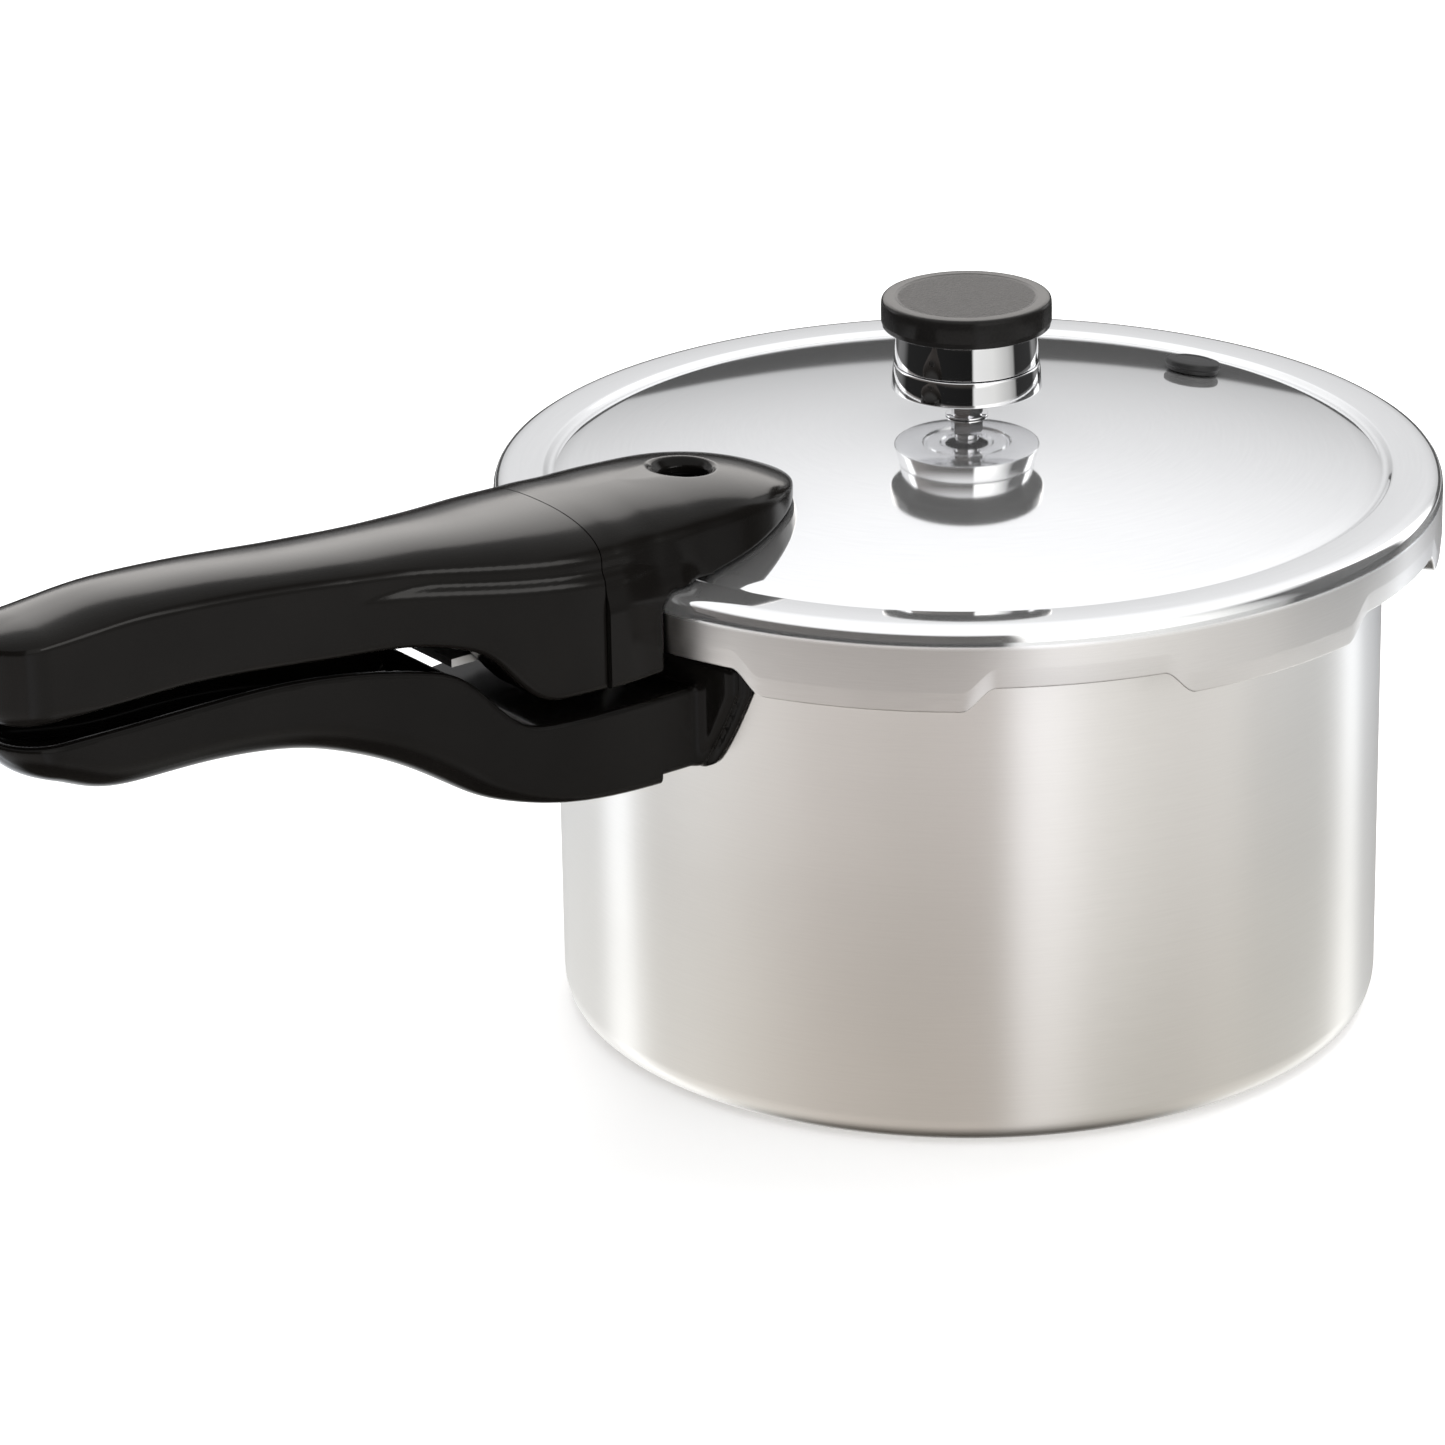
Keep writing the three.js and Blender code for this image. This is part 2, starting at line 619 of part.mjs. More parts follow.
function coverTangRoom() {
  const { halfWidth, bottom, thickness, endX } = COVER_TANG;
  return box([endX - 1, -halfWidth - 0.8, 110], [-100, halfWidth + 0.8, bottom + thickness + GAP]);
}

// The space the cover takes under the nose, with the nose's running clearance over the dome.
function coverRoom() {
  return turned([
    [0, 100], [LID.radius + 0.5, 100],
    ...arc(LID.radius - 4.6, LID.ring - 4.6, 5.1, 0, 90, 3),
    [102, LID.ring + 0.5], [96, 139.7], [85, 141.8], [70, 144.4], [58, 146], [0, 150],
  ]);
}

function coverHandleNose() {
  const top = [
    [-58.6, 149.4], [-62, 151.4], [-70, 153.6], [-86, 155.4], [-106, 156.3], [SEAM_X + GAP / 2, 156.6],
  ];
  const side = [
    [SEAM_X + GAP / 2, 117.6],
    [-100, 117.6],
    [-56, 140],
    [NOSE.tipX, 147.6],
    ...smooth(top, 12),
  ];
  let nose = handleForm(side, nosePlan()).subtract(coverRoom());
  const ceiling = [[-112.5, 130], [-50, 130], [-60, 145.4], [-68, 149.6], [-84, 151.6], [-112.5, 152.4]];
  nose = nose.subtract(handleForm(ceiling, nosePlan(HANDLE_WALL)));
  nose = nose.subtract(coverTangRoom());
  const strapHalf = COVER_STRAP.halfWidth + 1;
  nose = nose.subtract(box([-119.6, -strapHalf, 110], [-100, strapHalf, 133.4]));
  nose = nose.subtract(cylinder(SCREW.hole, 120, 143, COVER_SCREWS_X.front, 0, 16));
  nose = nose.subtract(cylinder(NOSE_HOLE.radius, 145, 160, NOSE_HOLE.x, 0, 28));
  const sink = turned([
    [0, 155.6 - NOSE_HOLE.sinkDepth], [NOSE_HOLE.radius, 155.6 - NOSE_HOLE.sinkDepth],
    [NOSE_HOLE.sinkRadius, 156], [NOSE_HOLE.sinkRadius, 160], [0, 160],
  ], 28).translate([NOSE_HOLE.x, 0, 0]);
  return piece('cover_handle_nose', nose.subtract(sink), PHENOLIC);
}

function coverHandleBracket() {
  const { radius, thickness, halfWidth, bottom, top } = COVER_STRAP;
  const halfAngle = THREE.MathUtils.radToDeg(Math.asin(halfWidth / radius));
  let bracket = sector(radius, radius + thickness, 180, halfAngle, bottom, top);
  const { halfWidth: w, bottom: z, thickness: t, endX } = COVER_TANG;
  bracket = bracket.add(box([endX, -w, z], [-radius - 0.8, w, z + t]));
  for (const x of Object.values(COVER_SCREWS_X)) {
    bracket = bracket.subtract(cylinder(SCREW.hole, z - 2, z + t + 2, x, 0, 16));
  }
  return piece('cover_handle_bracket', bracket, STEEL);
}

// ---------------------------------------------------------------- air vent and cover lock

function airVentGasket() {
  const { bottom, top } = VENT_SEAT;
  const bore = PIN.radius + GAP;
  const gasket = closedRing([
    [bore, bottom - GAP - 1.5], [7.4, bottom - GAP - 1.5], [7.4, bottom - GAP],
    [VENT_SEAT.hole - GAP, bottom - GAP], [VENT_SEAT.hole - GAP, top + GAP], [7.9, top + GAP],
    [7.9, top + GAP + 1.2], [7.2, top + GAP + 1.6], [bore, top + GAP + 1.6],
  ], 20);
  return piece('air_vent_gasket', gasket.translate([NOSE_HOLE.x, 0, 0]), BLACK_RUBBER);
}

function airVentPin() {
  const pin = turned([
    [0, PIN.bottom], [PIN.radius, PIN.bottom], [PIN.radius, PIN.headBottom],
    [PIN.headRadius, PIN.headBottom], [PIN.headRadius, PIN.top - 0.5],
    [PIN.headRadius - 0.5, PIN.top], [0, PIN.top],
  ], 18);
  return piece('air_vent_pin', pin.translate([NOSE_HOLE.x, 0, 0]), STEEL);
}

function airVentCup() {
  const cup = turned([
    [0, CUP.bottom], [CUP.radius - 0.7, CUP.bottom], [CUP.radius, CUP.bottom + 0.7],
    [CUP.radius, CUP.top], [CUP.bore, CUP.top], [CUP.bore, CUP.boreBottom], [0, CUP.boreBottom],
  ], 18);
  return piece('air_vent_cup', cup.translate([NOSE_HOLE.x, 0, 0]), STEEL);
}

// ---------------------------------------------------------------- vent pipe and weight regulator

function ventPipe() {
  const tube = turned([
    [0, PIPE.bottom], [PIPE.radius - 0.4, PIPE.bottom], [PIPE.radius, PIPE.bottom + 0.4],
    [PIPE.radius, PIPE.top - 2.4], [PIPE.radius - 1, PIPE.top], [0, PIPE.top],
  ], 18);
  const seat = LID.crown + GAP;
  const hex = cylinder(PIPE.hexRadius, seat, PIPE.hexTop, 0, 0, 6);
  const bore = cylinder(PIPE.bore, PIPE.bottom - 2, PIPE.top + 2, 0, 0, 12);
  return piece('vent_pipe', tube.add(hex).subtract(bore), CHROME);
}

function ventPipeNut() {
  const nut = cylinder(PIPE_NUT.radius, PIPE_NUT.bottom, PIPE_NUT.top, 0, 0, 6);
  const thread = cylinder(PIPE.radius + GAP, PIPE_NUT.bottom - 2, PIPE_NUT.top + 2, 0, 0, 18);
  return piece('vent_pipe_nut', nut.subtract(thread), STEEL);
}

// The lower ring of the weight, with the stepped recess on its underside.
function regulatorBase() {
  const { bottom, groove } = WEIGHT;
  return piece('regulator_base', closedRing([
    [WEIGHT_RADII.bore, bottom + 0.9], [6.4, bottom + 0.9], [6.9, bottom + 0.5], [10, bottom + 0.5],
    [10.4, bottom + 0.9], [10.9, bottom + 0.9], [11.3, bottom], [WEIGHT_RADII.bottom - 0.5, bottom],
    [WEIGHT_RADII.bottom, bottom + 0.5], [WEIGHT_RADII.groove, groove - GAP],
    [WEIGHT_RADII.bore, groove - GAP],
  ], 32), CHROME);
}

function regulatorBody() {
  const { groove, shoulder, neckTop, neckRadius } = WEIGHT;
  return piece('regulator_body', turned([
    [0, NEEDLE.holeTop], [NEEDLE.hole, NEEDLE.holeTop], [NEEDLE.hole, 167.4],
    [WEIGHT_RADII.bore, 166.4], [WEIGHT_RADII.bore, groove], [WEIGHT_RADII.groove, groove],
    [WEIGHT_RADII.shoulder, shoulder], [neckRadius, shoulder], [neckRadius, neckTop], [0, neckTop],
  ], 32), CHROME);
}

function regulatorNeedle() {
  return piece('regulator_needle', turned([
    [0, NEEDLE.tip], [0.7, NEEDLE.tip], [NEEDLE.radius, NEEDLE.coneTop], [NEEDLE.radius, NEEDLE.top],
    [0, NEEDLE.top],
  ], 16), STEEL);
}

function regulatorCap() {
  const { radius, bottom, top, edge, recessRadius, recessTop } = CAP;
  return piece('regulator_cap', turned([
    [0, recessTop], [recessRadius, recessTop], [recessRadius, bottom], [radius - 0.7, bottom],
    [radius, bottom + 0.7], ...arc(radius - edge, top - edge, edge, 0, 90, 3), [0, top],
  ], 32), PHENOLIC);
}

// ---------------------------------------------------------------- assembly

const cooker = new THREE.Group();
cooker.name = 'stovetop_pressure_cooker';

const pot = new THREE.Group();
pot.add(
  potBody(),
  potHandleBracket(),
  bracketRivet('bracket_rivet_left', -1),
  bracketRivet('bracket_rivet_right', 1),
  potHandleFerrule(),
  potHandle(),
  screw('pot_handle_screw', POT_SCREW_X, POT_TANG, 7.8),
  lockBracket(),
  lockRivet('lock_rivet_left', -1),
  lockRivet('lock_rivet_right', 1),
  cookingRack(),
);

const cover = new THREE.Group();
cover.add(
  coverLid(),
  sealingRing(),
  overpressurePlug(),
  coverHandleBracket(),
  coverHandleNose(),
  coverHandleGrip(),
  screw('cover_handle_screw_front', COVER_SCREWS_X.front, COVER_TANG, 17),
  screw('cover_handle_screw_rear', COVER_SCREWS_X.rear, COVER_TANG, 15),
  airVentGasket(),
  airVentPin(),
  airVentCup(),
  ventPipe(),
  ventPipeNut(),
);

const regulator = new THREE.Group();
regulator.add(regulatorBase(), regulatorBody(), regulatorNeedle(), regulatorCap());

cooker.add(pot, cover, regulator);

export default cooker;
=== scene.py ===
"""The looks of a stovetop pressure cooker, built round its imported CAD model.

Lengths are millimetres until a mesh is made, and metres from there on.
"""

import math

import bmesh
import bpy
import numpy as np
from mathutils import Matrix, Vector

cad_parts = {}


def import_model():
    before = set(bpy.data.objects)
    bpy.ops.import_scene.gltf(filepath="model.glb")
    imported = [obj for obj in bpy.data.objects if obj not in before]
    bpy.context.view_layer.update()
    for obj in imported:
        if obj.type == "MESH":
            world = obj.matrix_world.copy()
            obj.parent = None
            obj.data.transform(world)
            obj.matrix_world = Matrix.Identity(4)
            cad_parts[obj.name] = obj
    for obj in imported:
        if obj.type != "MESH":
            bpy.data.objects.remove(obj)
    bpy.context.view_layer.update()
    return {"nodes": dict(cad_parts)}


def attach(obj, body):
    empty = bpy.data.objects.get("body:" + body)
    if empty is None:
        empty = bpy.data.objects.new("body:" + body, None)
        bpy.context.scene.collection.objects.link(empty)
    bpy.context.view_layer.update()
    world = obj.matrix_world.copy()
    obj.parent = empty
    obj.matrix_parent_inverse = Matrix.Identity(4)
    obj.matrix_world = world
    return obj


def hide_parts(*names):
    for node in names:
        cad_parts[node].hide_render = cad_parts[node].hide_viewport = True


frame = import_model()
MM = 0.001
scene = bpy.context.scene

# ------------------------------------------------------------------ camera

# Where the camera stands, in metres, and which way its right, its top and its back point.
CAMERA_AT = Vector((-0.93298, -1.13179, 0.65527))
CAMERA_AXES = (
    (0.793102, -0.608854, -0.016915),
    (0.238667, 0.285101, 0.928308),
    (-0.560381, -0.740280, 0.371427),
)


def make_camera():
    data = bpy.data.cameras.new("camera")
    data.sensor_width = 36.0
    data.lens = 158.57
    data.clip_end = 100
    camera = bpy.data.objects.new("camera", data)
    scene.collection.objects.link(camera)
    turn = Matrix(CAMERA_AXES).transposed().to_4x4()
    camera.matrix_world = Matrix.Translation(CAMERA_AT) @ turn
    scene.camera = camera


make_camera()

# ------------------------------------------------------------------ outlines and meshes


def spline(xs, ys):
    """A natural cubic through the points, level beyond them."""
    xs, ys = np.array(xs, float), np.array(ys, float)
    n = len(xs)
    h = np.diff(xs)
    a, b = np.eye(n), np.zeros(n)
    for i in range(1, n - 1):
        a[i, i - 1 : i + 2] = h[i - 1], 2 * (h[i - 1] + h[i]), h[i]
        b[i] = 3 * ((ys[i + 1] - ys[i]) / h[i] - (ys[i] - ys[i - 1]) / h[i - 1])
    c = np.linalg.solve(a, b)
    d = np.diff(c) / (3 * h)
    e = np.diff(ys) / h - h * (2 * c[:-1] + c[1:]) / 3

    def at(x):
        x = np.clip(x, xs[0], xs[-1])
        i = np.clip(np.searchsorted(xs, x, side="right") - 1, 0, n - 2)
        t = x - xs[i]
        return ys[i] + t * (e[i] + t * (c[i] + t * d[i]))

    return at


def step(x, lo, hi):
    t = np.clip((x - lo) / (hi - lo), 0, 1)
    return t * t * (3 - 2 * t)


def filleted(points, steps=5):
    """A polyline of (x, y, radius) corners, each corner turned into an arc of that radius where it fits."""
    out = []
    count = len(points)
    for i, (x, y, *rest) in enumerate(points):
        radius = rest[0] if rest else 0
        if radius <= 0 or i in (0, count - 1):
            out.append((x, y))
            continue
        p = np.array((x, y), float)
        a = np.array(points[i - 1][:2], float) - p
        b = np.array(points[i + 1][:2], float) - p
        la, lb = max(np.linalg.norm(a), 1e-6), max(np.linalg.norm(b), 1e-6)
        a, b = a / la, b / lb
        half = math.acos(float(np.clip(a @ b, -1, 1))) / 2
        cut = min(radius / max(math.tan(half), 1e-3), 0.49 * la, 0.49 * lb)
        for k in range(steps + 1):
            t = k / steps
            out.append(tuple(p + a * cut * (1 - t) ** 2 + b * cut * t**2))
    return out


SAME_PLACE = 2e-6


def new_object(name, vertices, faces, sharp=35):
    """A smooth mesh object, with its edges sharp where faces meet at more than sharp degrees."""
    mesh = bpy.data.meshes.new(name)
    points = [tuple(float(c) * MM for c in v) for v in vertices]
    mesh.from_pydata(points, [], [tuple(map(int, f)) for f in faces])
    mesh.validate()
    bm = bmesh.new()
    bm.from_mesh(mesh)
    bmesh.ops.remove_doubles(bm, verts=bm.verts, dist=SAME_PLACE)
    bmesh.ops.dissolve_degenerate(bm, edges=bm.edges, dist=SAME_PLACE)
    bmesh.ops.recalc_face_normals(bm, faces=bm.faces)
    bm.to_mesh(mesh)
    bm.free()
    mesh.shade_smooth()
    if sharp:
        mesh.set_sharp_from_angle(angle=math.radians(sharp))
    obj = bpy.data.objects.new(name, mesh)
    scene.collection.objects.link(obj)
    return obj


def turned(name, profile_at, segments=192, closed=False, sharp=35):
    """A profile turned about Z, in that many equal segments or at a list of angles.

    The profile is (radius, height) points, or a function that gives them by angle.
    """
    if not isinstance(segments, list):
        segments = [2 * math.pi * i / segments for i in range(segments)]
    rows = []
    for phi in segments:
        profile = profile_at(phi) if callable(profile_at) else profile_at
        rows.append([(r * math.cos(phi), r * math.sin(phi), z) for r, z in profile])
    n = len(rows[0])
    vertices = [v for row in rows for v in row]
    faces = []
    for i in range(len(rows)):
        j = (i + 1) % len(rows)
        for k in range(n if closed else n - 1):
            m = (k + 1) % n
            faces.append((i * n + k, j * n + k, j * n + m, i * n + m))
    return new_object(name, vertices, faces, sharp)


def moved(obj, matrix):
    obj.data.transform(matrix)
    return obj


def place(x=0.0, y=0.0, z=0.0):
    return Matrix.Translation((x * MM, y * MM, z * MM))


def bore(obj, cutter):
    """Cuts cutter out of obj and removes it."""
    modifier = obj.modifiers.new("cut", "BOOLEAN")
    modifier.operation = "DIFFERENCE"
    modifier.solver = "EXACT"
    modifier.object = cutter
    depsgraph = bpy.context.evaluated_depsgraph_get()
    mesh = bpy.data.meshes.new_from_object(obj.evaluated_get(depsgraph))
    obj.modifiers.clear()
    obj.data = mesh
    bpy.data.objects.remove(cutter)


def rod(radius, z0, z1):
    """A round cutter for bore."""
    return turned("cutter", [(0, z0), (radius, z0), (radius, z1), (0, z1)], 64)


# ------------------------------------------------------------------ rounded solids from distance functions


def meet(a, b, radius):
    """What two solids share, with that radius along the edge where they meet."""
    u, v = np.maximum(a + radius, 0), np.maximum(b + radius, 0)
    return np.minimum(-radius, np.maximum(a, b)) + np.sqrt(u * u + v * v)


def join(a, b, radius):
    """Two solids together, with that radius in the corner between them."""
    return -meet(-a, -b, radius)


def netted(value, lo, cell):
    """A net of quads where value, sampled every cell from the corner lo, changes sign."""
    shape = np.array(value.shape) - 1
    corners = [(i, j, k) for i in (0, 1) for j in (0, 1) for k in (0, 1)]

    def corner(c):
        return value[c[0] : c[0] + shape[0], c[1] : c[1] + shape[1], c[2] : c[2] + shape[2]]

    inside = sum((corner(c) < 0).astype(int) for c in corners)
    used = (inside > 0) & (inside < 8)
    cells = np.argwhere(used)
    total, count = np.zeros((len(cells), 3)), np.zeros(len(cells))
    for a in corners:
        for axis in range(3):
            if a[axis]:
                continue
            b = tuple(1 if i == axis else a[i] for i in range(3))
            va, vb = corner(a)[used], corner(b)[used]
            crossing = (va < 0) != (vb < 0)
            t = np.where(crossing, va / np.where(crossing, va - vb, 1), 0)
            point = np.array(a, float) + t[:, None] * np.eye(3)[axis]
            total += point * crossing[:, None]
            count += crossing
    vertices = np.array(lo) + cell * (cells + total / count[:, None])
    number = np.full(used.shape, -1)
    number[used] = np.arange(len(cells))
    faces = []
    for axis in range(3):
        rows, columns = [shape[i] for i in range(3) if i != axis]
        below = np.moveaxis(value < 0, axis, 0)
        at = np.argwhere(below[:-1] != below[1:])
        row, column = at[:, 1], at[:, 2]
        at = at[(row > 0) & (column > 0) & (row < rows) & (column < columns)]
        grid = np.moveaxis(number, axis, 0)
        around = ((1, 1), (0, 1), (0, 0), (1, 0))
        faces.append(np.stack([grid[at[:, 0], at[:, 1] - u, at[:, 2] - v] for u, v in around], 1))
    return vertices, np.concatenate(faces)


def settled(solid, vertices, cell):
    """The vertices brought onto the surface along its gradient, in four small steps."""
    e = 0.05
    for _ in range(4):
        x, y, z = vertices.T
        rises = [
            solid(x + e, y, z) - solid(x - e, y, z),
            solid(x, y + e, z) - solid(x, y - e, z),
            solid(x, y, z + e) - solid(x, y, z - e),
        ]
        g = np.stack(rises, 1) / (2 * e)
        move = -(solid(x, y, z) / np.maximum((g * g).sum(1), 0.05))[:, None] * g
        vertices = vertices + np.clip(move, -0.4 * cell, 0.4 * cell)
    return vertices


def cut_flat(obj, x, side):
    """Ends the piece flat at x: side 1 keeps what lies towards -X, and side -1 what lies towards +X."""
    bm = bmesh.new()
    bm.from_mesh(obj.data)
    everything = bm.verts[:] + bm.edges[:] + bm.faces[:]
    cut = bmesh.ops.bisect_plane(
        bm, geom=everything, plane_co=(x * MM, 0, 0), plane_no=(side, 0, 0), clear_outer=True
    )
    rim = [e for e in cut["geom_cut"] if isinstance(e, bmesh.types.BMEdge)]
    bmesh.ops.triangle_fill(bm, edges=rim, use_beauty=True)
    bmesh.ops.recalc_face_normals(bm, faces=bm.faces)
    bm.to_mesh(obj.data)
    bm.free()


def surface(name, solid, lo, hi, cell, cut):
    """The surface where solid(x, y, z) is 0 from corner to corner, in quads cell across, with one end flat."""
    xs, ys, zs = [np.arange(a, b + cell, cell) for a, b in zip(lo, hi)]
    value = np.stack([solid(x, *np.meshgrid(ys, zs, indexing="ij")) for x in xs])
    vertices, faces = netted(value, lo, cell)
    obj = new_object(name, settled(solid, vertices, cell), faces, sharp=None)
    cut_flat(obj, *cut)
    obj.data.shade_smooth()
    obj.data.set_sharp_from_angle(angle=math.radians(50))
    return obj


# ------------------------------------------------------------------ materials


class Nodes:
    """A short way to write a node tree."""

    def __init__(self, tree):
        self.tree = tree

    def add(self, kind, inputs=(), **settings):
        node = self.tree.nodes.new(kind)
        for key, value in settings.items():
            setattr(node, key, value)
        for key, value in dict(inputs).items():
            if isinstance(value, bpy.types.NodeSocket):
                self.tree.links.new(value, node.inputs[key])
            else:
                node.inputs[key].default_value = value
        return node

    def math(self, operation, a, b=0.0, clamp=False):
        return self.add("ShaderNodeMath", {0: a, 1: b}, operation=operation, use_clamp=clamp).outputs[0]

    def weighted(self, a, share_of_a, b):
        """a and b mixed, with that share of a."""
        part = self.math("MULTIPLY", b, round(1 - share_of_a, 3))
        return self.math("ADD", self.math("MULTIPLY", a, share_of_a), part)

    def position(self):
        return self.add("ShaderNodeTexCoord").outputs["Object"]

    def vector(self, x=0.0, y=0.0, z=0.0):
        return self.add("ShaderNodeCombineXYZ", {0: x, 1: y, 2: z}).outputs[0]

    def noise(self, vector, scale, detail=3.0, roughness=0.5):
        inputs = {"Vector": vector, "Scale": scale, "Detail": detail, "Roughness": roughness}
        return self.add("ShaderNodeTexNoise", inputs).outputs["Fac"]

    def between(self, factor, low, high, from_low=0.0, from_high=1.0, smooth=False):
        node = self.add(
            "ShaderNodeMapRange",
            {"Value": factor, "From Min": from_low, "From Max": from_high, "To Min": low, "To Max": high},
            interpolation_type="SMOOTHSTEP" if smooth else "LINEAR",
        )
        return node.outputs[0]

    def tint(self, factor, dark, light):
        node = self.add("ShaderNodeMix", {"Factor": factor}, data_type="RGBA")
        node.inputs[6].default_value = (*dark, 1)
        node.inputs[7].default_value = (*light, 1)
        return node.outputs[2]

    def bump(self, height, distance, strength=1.0, under=None):
        inputs = {"Height": height, "Distance": distance, "Strength": strength}
        if under is not None:
            inputs["Normal"] = under
        return self.add("ShaderNodeBump", inputs).outputs[0]

    def around(self):
        """(turn about Z as a length, radius, height) of the point, in metres, with the seam at -X."""
        x, y, z = self.add("ShaderNodeSeparateXYZ", {0: self.position()}).outputs
        angle = self.math("ARCTAN2", y, x)
        square = self.math("ADD", self.math("MULTIPLY", x, x), self.math("MULTIPLY", y, y))
        return self.math("MULTIPLY", angle, 0.1), self.math("SQRT", square), z


class Paint(Nodes):
    """A new material's node tree."""

    def __init__(self, name):
        self.material = bpy.data.materials.new(name)
        self.material.use_nodes = True
        super().__init__(self.material.node_tree)
        self.shader = self.tree.nodes["Principled BSDF"]

    def set(self, **values):
        for key, value in values.items():
            name = key.replace("_", " ")
            if isinstance(value, bpy.types.NodeSocket):
                self.tree.links.new(value, self.shader.inputs[name])
            else:
                self.shader.inputs[name].default_value = value

    def brushed_round(self, strength):
        """Stretches reflections across fine lines that run round Z."""
        tangent = self.add("ShaderNodeTangent", direction_type="RADIAL", axis="Z")
        self.set(Anisotropic=strength, Anisotropic_Rotation=0.25, Tangent=tangent.outputs[0])


def brushed_aluminium():
    m = Paint("brushed_aluminium")
    turn, _, z = m.around()
    lines = m.noise(m.vector(m.math("MULTIPLY", turn, 0.06), z, 0.0), 2200.0, 4.0, 0.6)
    long_lines = m.noise(m.vector(m.math("MULTIPLY", turn, 0.02), z, 3.0), 900.0, 3.0, 0.6)
    both = m.weighted(lines, 0.6, long_lines)
    patches = m.noise(m.position(), 18.0, 2.0)
    m.set(
        Base_Color=m.tint(both, (0.700, 0.685, 0.665), (0.790, 0.775, 0.755)),
        Metallic=1.0,
        Roughness=m.between(m.weighted(both, 0.7, patches), 0.24, 0.40),
        Normal=m.bump(both, 0.00002, 0.35),
    )
    m.brushed_round(0.80)
    return m.material


def polished_aluminium():
    """Polished, but for the skirt, which is brushed."""
    m = Paint("polished_aluminium")
    turn, radius, z = m.around()
    low = m.between(z, 1.0, 0.0, 0.1313, 0.1330, smooth=True)
    outside = m.between(radius, 0.0, 1.0, 0.1145, 0.1150)
    skirt = m.math("MULTIPLY", low, outside)
    lines = m.noise(m.vector(m.math("MULTIPLY", turn, 0.06), z, 0.0), 2200.0, 4.0, 0.65)
    spin = m.noise(m.vector(m.math("MULTIPLY", turn, 0.04), radius, 5.0), 1400.0, 3.0, 0.6)
    haze = m.noise(m.position(), 30.0, 3.0)
    shine = m.math("ADD", 0.035, m.math("MULTIPLY", haze, 0.035))
    polished_tint = m.tint(spin, (0.86, 0.865, 0.875), (0.92, 0.925, 0.93))
    brushed_tint = m.tint(lines, (0.64, 0.625, 0.61), (0.76, 0.745, 0.73))
    colour = m.add("ShaderNodeMix", {0: skirt, 6: polished_tint, 7: brushed_tint}, data_type="RGBA")
    m.set(
        Base_Color=colour.outputs[2],
        Metallic=m.between(skirt, 0.90, 1.0),
        Roughness=m.math("ADD", shine, m.math("MULTIPLY", skirt, m.between(lines, 0.24, 0.46))),
        Normal=m.bump(m.math("MULTIPLY", lines, skirt), 0.00002, 0.35, m.bump(spin, 0.00001, 0.02)),
    )
    m.brushed_round(0.85)
    return m.material


def phenolic():
    m = Paint("black_phenolic")
    cloud = m.noise(m.position(), 55.0, 3.0)
    fine = m.noise(m.position(), 900.0, 3.0)
    m.set(
        Base_Color=m.tint(cloud, (0.0035, 0.0031, 0.0028), (0.0070, 0.0063, 0.0057)),
        Roughness=m.between(cloud, 0.13, 0.21),
        IOR=1.5,
        Specular_IOR_Level=0.10,
        Normal=m.bump(fine, 0.00002, 0.05),
    )
    return m.material


def cap_phenolic():
    """The cap's black, grained inside the border of its top."""
    m = Paint("cap_phenolic")
    _, radius, z = m.around()
    top = m.between(z, 0.0, 1.0, 0.1782, 0.1788)
    grained = m.math("MULTIPLY", top, m.between(radius, 1.0, 0.0, 0.0163, 0.0170, smooth=True))
    inputs = {"Vector": m.position(), "Scale": 1500.0}
    cells = m.add("ShaderNodeTexVoronoi", inputs, feature="SMOOTH_F1").outputs["Distance"]
    grain = m.weighted(cells, 0.6, m.noise(m.position(), 2600.0, 3.0))
    m.set(
        Base_Color=m.tint(grain, (0.010, 0.0095, 0.009), (0.018, 0.017, 0.0165)),
        Roughness=m.math("ADD", m.between(top, 0.17, 0.30), m.math("MULTIPLY", grained, 0.12)),
        IOR=1.5,
        Specular_IOR_Level=0.10,
        Normal=m.bump(m.math("MULTIPLY", grain, grained), 0.00022, 0.8),
    )
    return m.material


def plated(name, dark, light, low, high, scale=60.0):
    """Plain metal, with its roughness between low and high."""
    m = Paint(name)
    cloud = m.noise(m.position(), scale, 4.0, 0.6)
    fine = m.noise(m.position(), 3000.0, 2.0)
    m.set(
        Base_Color=m.tint(cloud, dark, light),
        Metallic=1.0,
        Roughness=m.between(m.weighted(cloud, 0.7, fine), low, high),
        Normal=m.bump(fine, 0.00001, 0.1),
    )
    return m.material


def rubber(name, dark, light):
    m = Paint(name)
    cloud = m.noise(m.position(), 120.0, 4.0, 0.6)
    fine = m.noise(m.position(), 2500.0, 3.0)
    m.set(
        Base_Color=m.tint(cloud, dark, light),
        Roughness=m.between(cloud, 0.42, 0.62),
        Normal=m.bump(fine, 0.00005, 0.3),
    )
    return m.material


